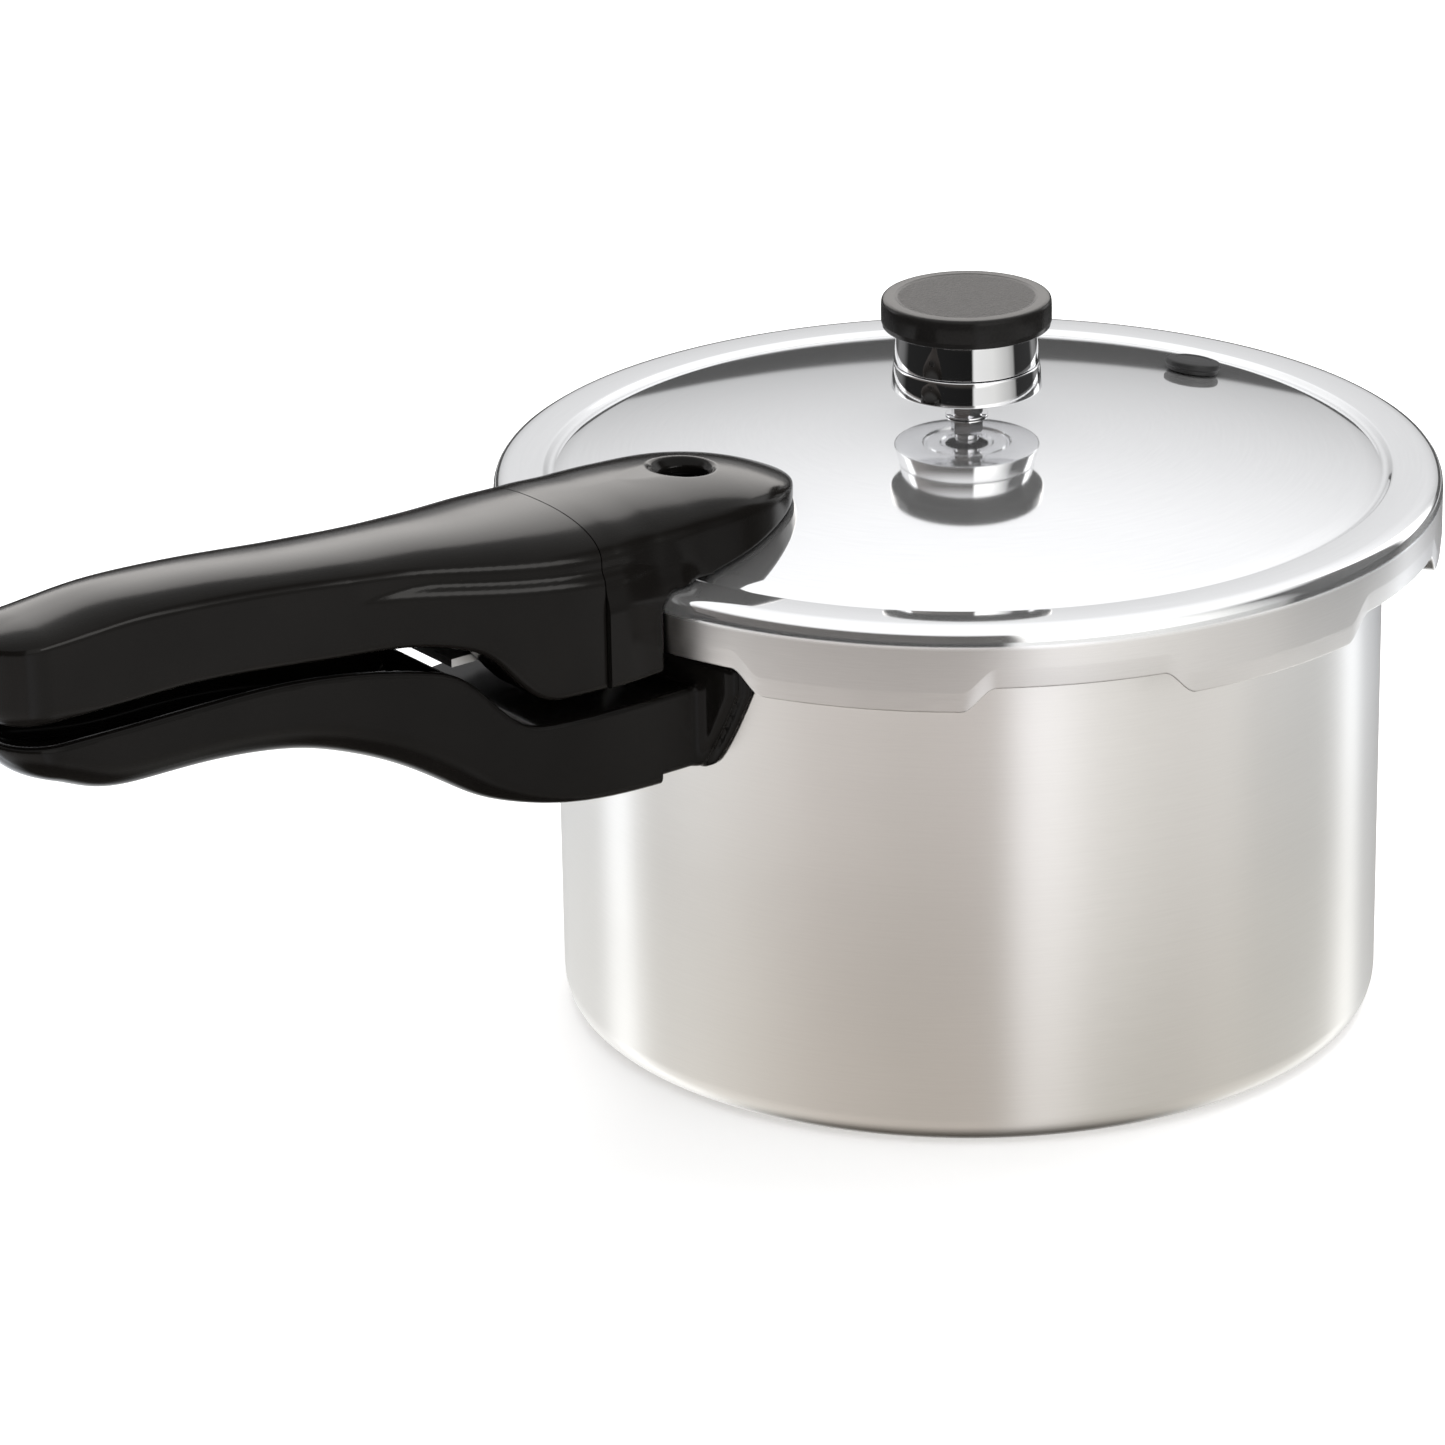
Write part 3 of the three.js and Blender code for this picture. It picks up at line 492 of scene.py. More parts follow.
# The finish of each material slot in the record.
FINISH = {
    "brushed_aluminium": brushed_aluminium(),
    "polished_aluminium": polished_aluminium(),
    "black_phenolic": phenolic(),
    "cap_phenolic": cap_phenolic(),
    "regulator_chrome": plated("regulator_chrome", (0.78, 0.78, 0.79), (0.86, 0.86, 0.87), 0.02, 0.06),
    "bracket_steel": plated("bracket_steel", (0.50, 0.50, 0.50), (0.66, 0.66, 0.65), 0.28, 0.42),
    "screw_steel": plated("screw_steel", (0.46, 0.46, 0.48), (0.60, 0.60, 0.62), 0.22, 0.36),
    "vent_steel": plated("vent_steel", (0.60, 0.60, 0.60), (0.72, 0.72, 0.72), 0.15, 0.28),
    "rack_aluminium": plated("rack_aluminium", (0.66, 0.66, 0.66), (0.78, 0.78, 0.78), 0.28, 0.42, 25.0),
    "plug_rubber": rubber("plug_rubber", (0.010, 0.010, 0.0105), (0.022, 0.022, 0.023)),
    "ring_rubber": rubber("ring_rubber", (0.040, 0.040, 0.043), (0.065, 0.065, 0.068)),
}


def piece(obj, body, slot, *nodes):
    """Makes obj a piece of a body, with a slot's finish. It stands for the CAD nodes, if any."""
    obj.data.materials.clear()
    obj.data.materials.append(FINISH[slot])
    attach(obj, body)
    if nodes:
        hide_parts(*nodes)


# ------------------------------------------------------------------ pot

LUG_PITCH = 360 / 7
LUG_FIRST = 218.0
# Half a lug's angle and the part of it that is a ramp, in degrees.
POT_LUG = (11.4, 1.2)
COVER_LUG = (15.85, 4.1)


def off_lug(degrees):
    """The angle to the nearest lug's middle."""
    past = (degrees - LUG_FIRST) % LUG_PITCH
    return min(past, LUG_PITCH - past)


def lug_share(phi, half_angle, ramp):
    """1 over a lug, 0 between two lugs."""
    return float(step(off_lug(math.degrees(phi)), half_angle, half_angle - ramp))


def lug_angles(half_angle, ramp):
    """Angles all round, a degree apart, and a quarter where lugs end."""
    angles = []
    for i in range(1440):
        if i % 4 == 0 or half_angle - ramp - 0.6 < off_lug(i / 4) < half_angle + 0.6:
            angles.append(math.radians(i / 4))
    return angles


def pot_profile(phi):
    share = lug_share(phi, *POT_LUG)
    rim = 108 + 4.4 * share
    under = 124.5 - 5.3 * share
    outside = [(0, 0), (30, 0), (60, 0), (101.5, 0, 7.0), (101.5, 60), (101.5, 118 - 2 * share)]
    edge = [(101.5, under - 3 + 2.6 * share, 1.4), (rim, under, 0.9), (rim, 128.7, 1.1), (99.1, 128.7, 1.3)]
    inside = [(99.1, 60), (99.1, 3.2, 5.0), (60, 3.2), (30, 3.2), (0, 3.2)]
    return filleted(outside + edge + inside, 7)


def make_pot():
    pot = turned("pot_shell", pot_profile, lug_angles(*POT_LUG))
    piece(pot, "pot", "brushed_aluminium", "pot_body")


make_pot()

# ------------------------------------------------------------------ cover

DOME_TOP = 148.6
DOME_FALL = 0.00122
COVER_THICKNESS = 2.3
HOLE_X = -86.5
PLUG_AT = 78.0
PLUG_TURN = math.radians(4)


def dome(r):
    return DOME_TOP - DOME_FALL * r * r


def lid_profile(phi):
    share = lug_share(phi, *COVER_LUG)
    bottom = 122 - 5.8 * share
    lip = min(113.3 - 4.5 * step(share, 0.25, 0.95), 112.9)
    top = [(r, dome(r)) for r in np.linspace(0, 99.5, 34)]
    under = [(r, dome(r) - COVER_THICKNESS) for r in np.linspace(99.5, 0, 30)]
    ring = [(99.5, dome(99.5)), (101.7, 135.25, 1.6), (103.5, 136.7, 1.1), (115.7, 136.7, 4.4)]
    skirt = [(115.7, bottom + 5.0, 4.0), (115.3, bottom, 0.7), (lip, bottom, 0.4), (lip, bottom + 2.2, 0.7)]
    inside = [(113.3, bottom + 2.4, 0.8), (113.3, 130), (113.3, 134.4, 2.2), (102.6, 134.4, 0.8)]
    channel = [(102.6, 130.4, 0.6), (100.4, 130.4, 0.6), (100.4, 133.4, 0.5), under[0]]
    return top[:-1] + filleted(ring + skirt + inside + channel, 6) + under[1:]


def plug_place():
    """The plug's place on the slope of the dome."""
    tilt = math.atan(2 * DOME_FALL * PLUG_AT)
    return (
        Matrix.Rotation(PLUG_TURN, 4, "Z") @ place(PLUG_AT, 0, dome(PLUG_AT)) @ Matrix.Rotation(tilt, 4, "Y")
    )


def make_cover():
    lid = turned("cover_shell", lid_profile, lug_angles(*COVER_LUG))
    bore(lid, moved(rod(8.6, 138.6, 150), place(HOLE_X)))
    bore(lid, moved(rod(5.9, 130, 150), place(HOLE_X)))
    bore(lid, rod(3.3, 140, 152))
    bore(lid, moved(rod(5.2, -6, 6), plug_place()))
    lid.data.shade_smooth()
    lid.data.set_sharp_from_angle(angle=math.radians(35))
    piece(lid, "cover", "polished_aluminium", "cover_lid")


def make_seal():
    section = [
        (104.2, 131.4), (104.2, 129, 0.8), (112.6, 129, 0.8),
        (112.6, 133.9, 2.4), (104.2, 133.9, 0.8), (104.2, 131.4),
    ]
    ring = turned("cover_gasket_ring", filleted(section), 192)
    piece(ring, "seal", "ring_rubber", "sealing_ring")


def make_plug():
    section = [
        (0, -5.9), (3.9, -5.9, 0.8), (5.8, -3.8, 0.3), (5.8, -2.6, 0.3), (4.9, -2.6),
        (4.9, 0.3), (6.4, 0.3, 0.3), (6.4, 1.2, 0.4), (6.9, 1.6, 0.4), (6.9, 2.9, 0.7),
        (4.6, 3.5, 1.2), (4.2, 3.1, 0.4), (1.2, 3.3, 0.6), (0, 3.3),
    ]
    plug = turned("blow_out_plug", filleted(section), 96)
    piece(moved(plug, plug_place()), "cover", "plug_rubber", "overpressure_plug")


make_cover()
make_seal()
make_plug()

# ------------------------------------------------------------------ handles

SEAM = -129.0
GRIP_END = -281.0
LOWER_END = -279.0
# Half the width of both handles, and the heights of the upper one's top, crease and underside, along X.
PLAN = spline(
    [-290, -263, -240, -215, -195, -180, -166, -152, -141, -129, -114, -100],
    [13.0, 13.4, 14.0, 14.5, 15.2, 16.8, 19.6, 22.8, 25.2, 26.3, 26.3, 26.3],
)
TOP = spline(
    [-290, -262, -250, -236, -222, -205, -188, -168, -148, -129],
    [160, 162.6, 163.8, 163.8, 163, 161.4, 159.8, 158.4, 157.2, 156.6],
)
CREASE = spline(
    [-290, -262, -248, -228, -214, -200, -186, -171, -152, -139, -129],
    [157.6, 158.2, 158.8, 158.0, 157.0, 155.6, 154.2, 152.4, 149.8, 148.6, 147.8],
)
UNDER = spline(
    [-290, -262, -250, -236, -226, -216, -205, -195, -184]
    + [-173, -166, -160, -156.5, -153, -149, -144.5, -139, -129],
    [141.6, 141.2, 141.4, 141.7, 141.3, 140.5, 139.4, 138.5, 137.7]
    + [136.3, 134.6, 132.2, 129.6, 125.7, 121.3, 118.2, 117.5, 117.5],
)


def steepness(curve, x):
    """What a height above the curve is divided by to give a distance from it."""
    return np.sqrt(1 + (curve(x + 0.5) - curve(x - 0.5)) ** 2)


# The power of the crown's superellipse: 2 is round, and more is fuller.
CROWN = 2.3


def rolled(plan, half_width, z, crease, top):
    """A solid with upright sides up to the crease, and above it a crown that follows the plan's edge."""
    rise = np.maximum(top - crease, 0.5)
    q = np.maximum(1 + plan / half_width, 0)
    up = np.maximum(z - crease, 0) / rise
    size = np.maximum((q**CROWN + up**CROWN) ** (1 / CROWN), 1e-6)
    slope = np.hypot(q ** (CROWN - 1) / half_width, up ** (CROWN - 1) / rise) / size ** (CROWN - 1)
    return (size - 1) / np.maximum(slope, 1e-3)


def ledge(x):
    """How far the crown stands in from the side, round the block where the handle meets the cover."""
    return 1.3 * step(x, -192, -168) * (1 - step(x, -126, -110))


def crowned(x, z, plan, half_width, crease, top):
    """The crown, and the side below it with its own rounded top edge where the ledge leaves room."""
    crown = rolled(plan + ledge(x), half_width - ledge(x), z, crease, top)
    return join(crown, meet(plan, z - crease + 1.2, 4.0), 0.5 * ledge(x))


def grip(x, y, z):
    """The rear half of the cover's handle, with a slot underneath for the bracket."""
    w = PLAN(x)
    plan = meet(np.abs(y) - w, GRIP_END - x, 12.0)
    body = crowned(x, z, plan, w, CREASE(x), TOP(x))
    edge = 1.8 + 3.2 * step(x, -255, -272)
    body = meet(body, (UNDER(x) - 0.3 * edge - z) / steepness(UNDER, x), edge)
    slot = np.maximum(np.maximum(np.abs(y) - 8.8, z - 127.3), -161 - x)
    return meet(body, -slot, 0.4)


def room(x, y, z):
    """The cover's own space under the nose."""
    r = np.sqrt(x * x + y * y)
    outer = meet(r - 116.2, z - 137.2, 5.0)
    inner = np.maximum(r - 102.0, z - (dome(r) + 0.75))
    return np.minimum(outer, inner)


NOSE_TOP = spline(
    [-140, -129, -106, -86, -74, -66, -60, -50],
    [156.9, 156.6, 156.3, 155.4, 154.2, 152.6, 150.8, 147],
)
NOSE_CREASE = spline(
    [-140, -129, -110, -86, -70, -58, -50],
    [147.9, 147.8, 147.8, 148.0, 147.8, 147.4, 147],
)


def nose(x, y, z):
    """The front half of the cover's handle: a hollow oval over the dome, with the pin's hole in it."""
    a, b = 48.0, 26.3
    ex, ey = np.maximum(x + 106.0, 0) / a, y / b
    size = np.sqrt(ex * ex + ey * ey)
    slope = np.sqrt((ex / a) ** 2 + (ey / b) ** 2) / np.maximum(size, 1e-6)
    oval = (size - 1) / np.maximum(slope, 1e-3)
    waist = 1.6 * step(x, -124, -112) * (1 - step(x, -100, -80))
    plan = oval + waist
    shell = crowned(x, z, plan, b, NOSE_CREASE(x), NOSE_TOP(x))
    apron = meet(meet(np.abs(y) - b, z - 138.5, 3.0), x + 104.0, 3.0)
    body = join(shell, apron, 5.0)
    body = meet(body, 117.6 - z, 1.4)
    body = meet(body, -room(x, y, z), 0.7)
    hollow = meet(meet(shell + 3.4, z - (NOSE_TOP(x) - 4.4), 2.0), -112.5 - x, 2.0)
    body = meet(body, -hollow, 0.5)
    r = np.sqrt((x - HOLE_X) ** 2 + y * y)
    sink = r - (5.9 + np.maximum(z - 153.0, 0) * 0.95)
    body = meet(body, -sink, 0.7)
    strap = np.maximum(np.maximum(np.abs(y) - 15, z - 133.4), np.abs(x + 113) - 6.6)
    tang = np.maximum(np.abs(y) - 8.8, z - 127.3)
    return meet(body, -np.minimum(strap, tang), 0.4)


LOWER_TOP = spline(
    [-290, -268, -250, -229, -215, -200, -186.5, -172, -165]
    + [-160, -156, -153, -149, -143, -134, -114, -100],
    [135.2, 134.9, 135.0, 135.3, 135.2, 134.2, 132.4, 129.5, 126.8]
    + [122.3, 117.8, 114.9, 112.4, 111.5, 111.5, 111.5, 111.5],
)
LOWER_UNDER = spline(
    [-290, -279, -272, -266, -258, -243, -230, -215, -201]
    + [-191, -176, -166, -160, -153, -142, -130, -114, -100],
    [134, 131.2, 129.2, 127.2, 124.0, 122.4, 122.4, 121.3, 118.7]
    + [115.4, 108.6, 102.4, 98.4, 95.2, 92.3, 90.8, 90.0, 90.0],
)
TROUGH = spline(
    [-290, -276, -264, -250, -226, -212, -198, -188, -176, -168, -162, -156],
    [138, 131.6, 128.6, 126.4, 125.6, 124.6, 122.2, 119.4, 114.6, 113.0, 117.0, 123.0],
)


def lower_handle(x, y, z):
    """The pot's handle, with a trough along its top."""
    w = PLAN(x)
    plan = meet(np.abs(y) - w, LOWER_END - x, 12.5)
    curve = 2.2 + 6.0 * step(x, -135, -170)
    body = meet(plan, (LOWER_UNDER(x) - 0.38 * curve - z) / steepness(LOWER_UNDER, x), curve)
    body = meet(body, (z - LOWER_TOP(x)) / steepness(LOWER_TOP, x), 0.9)
    trough = meet(plan + 2.8, (TROUGH(x) - z) / steepness(TROUGH, x), 3.0)
    trough = np.maximum(trough, x + 162)
    body = meet(body, -trough, 0.7)
    tang = np.maximum(np.maximum(np.abs(y) - 8.1, np.abs(z - 99.85) - 2.85), -151 - x)
    recess = np.maximum(np.sqrt((x + 132) ** 2 + y * y) - 5.0, z - 99.7)
    return meet(body, -np.minimum(tang, recess), 0.4)


def ferrule(x, y, z):
    """The collar between the pot and its handle, with a two-step flange against the pot."""
    r = np.sqrt(x * x + y * y)
    sleeve = meet(meet(np.abs(y) - 25.4, z - 111.2, 1.2), 90.9 - z, 1.8)
    half = 23.8 + 10.0 * np.clip((z - 90.3) / 18.3, 0, 1.1) ** 0.75
    upright = np.maximum(90.0 - z, z - 117.6)
    thick = meet(meet((np.abs(y) - half) * 0.8, upright, 2.0), r - 105.2, 1.6)
    thin = meet(meet((np.abs(y) - half - 2.2) * 0.8, upright, 2.0), r - 103.2, 0.6)
    body = join(sleeve, np.minimum(thick, thin), 2.4)
    body = meet(body, 101.9 - r, 0.3)
    body = np.maximum(body, x + 80)
    strap = np.maximum(np.maximum(np.abs(y) - 18.4, np.abs(z - 101.25) - 8.05), -107.2 - x)
    tang = np.maximum(np.abs(y) - 8.1, np.abs(z - 99.85) - 2.85)
    return meet(body, -np.minimum(strap, tang), 0.3)


FINE = 0.62


def make_handles():
    """Each part has its solid, two corners round it, the size of its quads and its cut end."""
    for name, body, node, solid, lo, hi, cell, cut in (
        ("cover_handle_rear", "cover", "cover_handle_grip", grip)
        + ((-284, -29, 114), (-126, 29, 167), FINE, (SEAM - 0.15, 1)),
        ("cover_handle_front", "cover", "cover_handle_nose", nose)
        + ((-132, -29, 114), (-54, 29, 160), FINE * 0.85, (SEAM + 0.15, -1)),
        ("pot_handle_grip", "pot", "pot_handle", lower_handle)
        + ((-282, -29, 87), (-110, 29, 138), FINE, (-113.8, 1)),
        ("pot_handle_collar", "pot", "pot_handle_ferrule", ferrule)
        + ((-117, -40, 87), (-86, 40, 120), FINE * 0.8, (-113.5, -1)),
    ):
        piece(surface(name, solid, lo, hi, cell, cut), body, "black_phenolic", node)


make_handles()

# ------------------------------------------------------------------ regulator and vent pipe


def make_regulator():
    """The weight: three turned rings and the needle that closes the pipe."""
    base = [
        (5.4, 160), (5.4, 157.0, 0.3), (6.4, 157.0, 0.2), (6.9, 156.6, 0.2), (10, 156.6, 0.2),
        (10.4, 157.0, 0.2), (10.9, 157.0, 0.2), (11.3, 156.1, 0.2), (18.45, 156.1, 0.5), (17.75, 162.5, 0.6), (5.4, 162.5, 0.2),
        (5.4, 160),
    ]
    middle = [
        (0, 170.7), (2.5, 170.7), (2.5, 167.4), (5.4, 166.4), (5.4, 162.8, 0.2), (17.7, 162.8, 0.15),
        (17.3, 166.9), (16.9, 171.1, 0.3), (8, 171.1), (8, 176.2, 0.4), (0, 176.2),
    ]
    cap = [
        (0, 176.5), (8.3, 176.5), (8.3, 171.4), (19.2, 171.4, 0.4), (20.4, 171.9, 0.5), (20.7, 173.2, 1.0),
        (20.7, 176.4), (20.6, 178.9, 1.5), (17.4, 179.0, 0.5), (16.6, 178.8, 0.5), (12, 178.8), (6, 178.8),
        (0, 178.8),
    ]
    needle = [(0, 164.4), (0.7, 164.4, 0.2), (2.2, 166.6, 0.3), (2.2, 170.4, 0.3), (0, 170.4)]
    for name, node, slot, section, segments in (
        ("weight_base", "regulator_base", "regulator_chrome", base, 160),
        ("weight_body", "regulator_body", "regulator_chrome", middle, 160),
        ("weight_cap", "regulator_cap", "cap_phenolic", cap, 192),
        ("weight_needle", "regulator_needle", "vent_steel", needle, 48),
    ):
        piece(turned(name, filleted(section), segments), "regulator", slot, node)


def hexagon(name, across_corners, z0, z1, chamfer, hole):
    """A hexagonal prism with a hole and turned-off corners. across_corners is half of that."""

    def profile(phi):
        flat = across_corners * math.cos(math.pi / 6)
        r = flat / math.cos((phi + math.pi / 6) % (math.pi / 3) - math.pi / 6)
        low = min(r, flat * 0.99)
        slope = chamfer * (r - low) / (across_corners - low)
        return [(hole, z0), (low, z0), (r, z0 + slope), (r, z1 - slope), (low, z1), (hole, z1)]

    return turned(name, profile, 144, closed=True, sharp=25)


def make_pipe():
    """The vent pipe, with its hexagon and washer, and the nut under the cover."""
    section = [
        (1, 150), (1, 139), (2.6, 139, 0.2), (3, 139.5, 0.2), (3, 161.6, 0.3), (2, 164, 0.4), (1, 164),
        (1, 150),
    ]
    rim = [(2.4, 148.7), (5.2, 148.7, 0.1), (5.2, 149.1, 0.15), (2.4, 149.1), (2.4, 148.7)]
    pipe = turned("vent_pipe_tube", filleted(section), 64)
    collar = hexagon("vent_pipe_hex", 4.1, 148.9, 153.4, 0.9, 2.4)
    moved(collar, Matrix.Rotation(math.radians(33), 4, "Z"))
    washer = turned("vent_pipe_washer", filleted(rim), 64)
    for obj in (collar, washer):
        obj.parent = pipe
        piece(obj, "cover", "regulator_chrome")
    piece(pipe, "cover", "regulator_chrome", "vent_pipe")
    nut = hexagon("vent_pipe_fixing", 5.6, 141.8, 146.0, 0.7, 3.3)
    piece(nut, "cover", "bracket_steel", "vent_pipe_nut")


make_regulator()
make_pipe()

# ------------------------------------------------------------------ air vent, fastenings and rack


def make_air_vent():
    """The bush in the cover, the pin that rises in it and the cup on the pin's lower end."""
    bush = [
        (3.6, 137), (3.6, 133.6, 0.3), (7.4, 133.6, 0.5), (7.4, 135.1, 0.4), (5.6, 135.1), (5.6, 138.9),
        (7.9, 138.9, 0.3), (7.9, 140.0, 0.5), (7.2, 140.5, 0.4), (3.6, 140.5, 0.4), (3.6, 137),
    ]
    stem = [(0, 123.4), (3.3, 123.4, 0.3), (3.3, 140.8), (4.3, 140.8, 0.2), (4.3, 142.6, 0.6), (0, 142.6)]
    cup = [(0, 122.5), (5.5, 122.5, 0.8), (5.5, 128.2, 0.4), (3.6, 128.2, 0.3), (3.6, 123.1), (0, 123.1)]
    for name, body, slot, node, section, segments in (
        ("air_vent_bush", "cover", "plug_rubber", "air_vent_gasket", bush, 72),
        ("air_vent_stem", "lock_pin", "vent_steel", "air_vent_pin", stem, 64),
        ("air_vent_lock_cup", "lock_pin", "vent_steel", "air_vent_cup", cup, 64),
    ):
        piece(moved(turned(name, filleted(section), segments), place(HOLE_X)), body, slot, node)


def make_screws():
    corners = [(u, v, w) for u in (-6, 6) for v in (-0.5, 0.5) for w in (-2, 0.9)]
    sides = [(0, 1, 3, 2), (4, 6, 7, 5), (0, 4, 5, 1), (2, 3, 7, 6), (0, 2, 6, 4), (1, 5, 7, 3)]
    head = [(0, 0), (2.6, 0, 0.8), (4.2, 1.0, 0.6), (4.2, 2.2, 0.1), (1.85, 2.2)]
    for node, body, x, z, length in (
        ("pot_handle_screw", "pot", -132, 97.5, 7.8),
        ("cover_handle_screw_front", "cover", -123.6, 122.5, 17),
        ("cover_handle_screw_rear", "cover", -147, 122.5, 15),
    ):
        shank = [(1.85, 1.2 + length), (0.95, 2.2 + length), (0, 2.2 + length)]
        screw = turned(node + "_fine", filleted(head + shank), 64)
        bore(screw, new_object("cutter", corners, sides))
        piece(moved(screw, place(x, 0, z)), body, "screw_steel", node)


def make_rivets():
    inward = Matrix.Rotation(-math.pi / 2, 4, "Y")
    through = [
        (0, 97.2), (3.0, 97.2, 1.0), (4.2, 98.3, 0.3), (4.2, 98.8), (2.2, 98.8),
        (2.2, 104.2), (4.2, 104.2), (4.2, 104.7, 0.3), (3.0, 105.8, 1.0), (0, 105.8),
    ]
    flush = [
        (0, 94.3), (2.8, 94.3, 0.8), (3.8, 95.3, 0.3), (3.8, 95.8),
        (2.2, 95.8), (2.2, 100.7), (0, 100.7),
    ]
    for side, end in ((-1, "left"), (1, "right")):
        turn = Matrix.Rotation(side * math.asin(12.5 / 101.5), 4, "Z")
        for node, section, matrix in (
            ("bracket_rivet_" + end, through, turn @ place(0, 0, 101.3) @ inward),
            ("lock_rivet_" + end, flush, place(0, -2 + 5.5 * side, 114) @ inward),
        ):
            rivet = turned(node + "_fine", filleted(section), 56)
            piece(moved(rivet, matrix), "pot", "bracket_steel", node)


def rack_deck():
    """A flat disc with three rings of holes, its edges rounded."""
    curve = bpy.data.curves.new("rack", "CURVE")
    curve.dimensions = "2D"
    curve.fill_mode = "BOTH"
    curve.extrude = 0.45 * MM
    curve.bevel_depth = 0.3 * MM
    curve.bevel_resolution = 2

    def circle(x, y, radius, count):
        line = curve.splines.new("POLY")
        line.points.add(count - 1)
        line.use_cyclic_u = True
        for i, point in enumerate(line.points):
            t = 2 * math.pi * i / count
            point.co = ((x + radius * math.cos(t)) * MM, (y + radius * math.sin(t)) * MM, 0, 1)

    circle(0, 0, 84.6, 160)
    for distance, count in ((0, 1), (26, 6), (52, 12)):
        for i in range(count):
            t = 2 * math.pi * i / count
            circle(distance * math.cos(t), distance * math.sin(t), 6.8, 40)
    flat = bpy.data.objects.new("rack_flat", curve)
    scene.collection.objects.link(flat)
    mesh = bpy.data.meshes.new_from_object(flat.evaluated_get(bpy.context.evaluated_depsgraph_get()))
    bpy.data.objects.remove(flat)
    deck = bpy.data.objects.new("rack_deck", mesh)
    scene.collection.objects.link(deck)
    mesh.shade_smooth()
    mesh.set_sharp_from_angle(angle=math.radians(40))
    return moved(deck, place(0, 0, 10.25))


def make_rack():
    section = [
        (84.4, 7), (84.4, 3.5, 0.6), (86, 3.5, 0.6), (86, 11, 2.2),
        (83.6, 11, 0.3), (83.6, 9.6, 0.3), (84.4, 9.5, 0.2), (84.4, 7),
    ]
    piece(rack_deck(), "rack", "rack_aluminium")
    rim = turned("rack_rim", filleted(section), 160, sharp=40)
    piece(rim, "rack", "rack_aluminium", "cooking_rack")


def finish_brackets():
    """The CAD nodes that stay, the three steel brackets, get their finish and a small bevel."""
    for obj in frame["nodes"].values():
        if obj.hide_render:
            continue
        obj.data.materials.clear()
        obj.data.materials.append(FINISH["bracket_steel"])
        bevel = obj.modifiers.new("bevel", "BEVEL")
        bevel.width = 0.25 * MM
        bevel.segments = 2
        bevel.limit_method = "ANGLE"
        bevel.angle_limit = math.radians(40)


make_air_vent()
make_screws()
make_rivets()
make_rack()
finish_brackets()

# ------------------------------------------------------------------ floor, light and surroundings

# Away from the camera, level, and to its right.
VIEW = Vector((0.6036, 0.7973, 0))
RIGHT = Vector((0.7973, -0.6036, 0))


def disc(name, radius, height):
    bm = bmesh.new()
    bmesh.ops.create_circle(bm, cap_ends=True, radius=radius, segments=96)
    mesh = bpy.data.meshes.new(name)
    bm.to_mesh(mesh)
    bm.free()
    obj = bpy.data.objects.new(name, mesh)
    scene.collection.objects.link(obj)
    obj.location.z = height
    return obj


def floor():
    """A white floor, which reflections don't see, and its shade close to the pot, which only they see."""
    white = disc("floor", 9, -0.0002)
    white.visible_glossy = False
    m = Paint("floor_paint")
    m.set(
        Base_Color=m.tint(m.noise(m.position(), 3.0), (0.93, 0.93, 0.93), (0.95, 0.95, 0.95)),
        Roughness=0.9,
        Specular_IOR_Level=0.0,
        Emission_Color=(1, 1, 1, 1),
        Emission_Strength=0.4,
    )
    white.data.materials.append(m.material)
    shade = disc("floor_shade", 0.6, -0.0004)
    shade.visible_camera = shade.visible_diffuse = shade.visible_shadow = shade.visible_transmission = False
    m = Paint("floor_shade")
    _, radius, _ = m.around()
    far = m.between(radius, 0, 1, 0.10, 0.42, smooth=True)
    clear = m.add("ShaderNodeBsdfTransparent", {"Color": m.tint(far, (0.62, 0.60, 0.56), (1, 1, 1))})
    m.tree.links.new(clear.outputs[0], m.tree.nodes["Material Output"].inputs[0])
    shade.data.materials.append(m.material)


def lamp(name, azimuth, elevation, distance, size, energy, colour, aim=(0, 0, 0.08)):
    """A soft rectangular light. Azimuth is from the camera's side, to the right."""
    data = bpy.data.lights.new(name, "AREA")
    data.shape = "RECTANGLE"
    data.size, data.size_y = size
    data.energy = energy
    data.color = colour
    obj = bpy.data.objects.new(name, data)
    scene.collection.objects.link(obj)
    a, e = math.radians(azimuth), math.radians(elevation)
    away = (-VIEW * math.cos(a) + RIGHT * math.sin(a)) * math.cos(e) + Vector((0, 0, math.sin(e)))
    obj.location = away * distance + Vector(aim)
    obj.rotation_euler = (Vector(aim) - obj.location).to_track_quat("-Z", "Y").to_euler()
    obj.visible_camera = obj.visible_glossy = False
    return obj


def only_on(light, names):
    """Lets a light reach only the named objects."""
    group = bpy.data.collections.new(light.name + "_on")
    for name in names:
        group.objects.link(bpy.data.objects[name])
    light.light_linking.receiver_collection = group


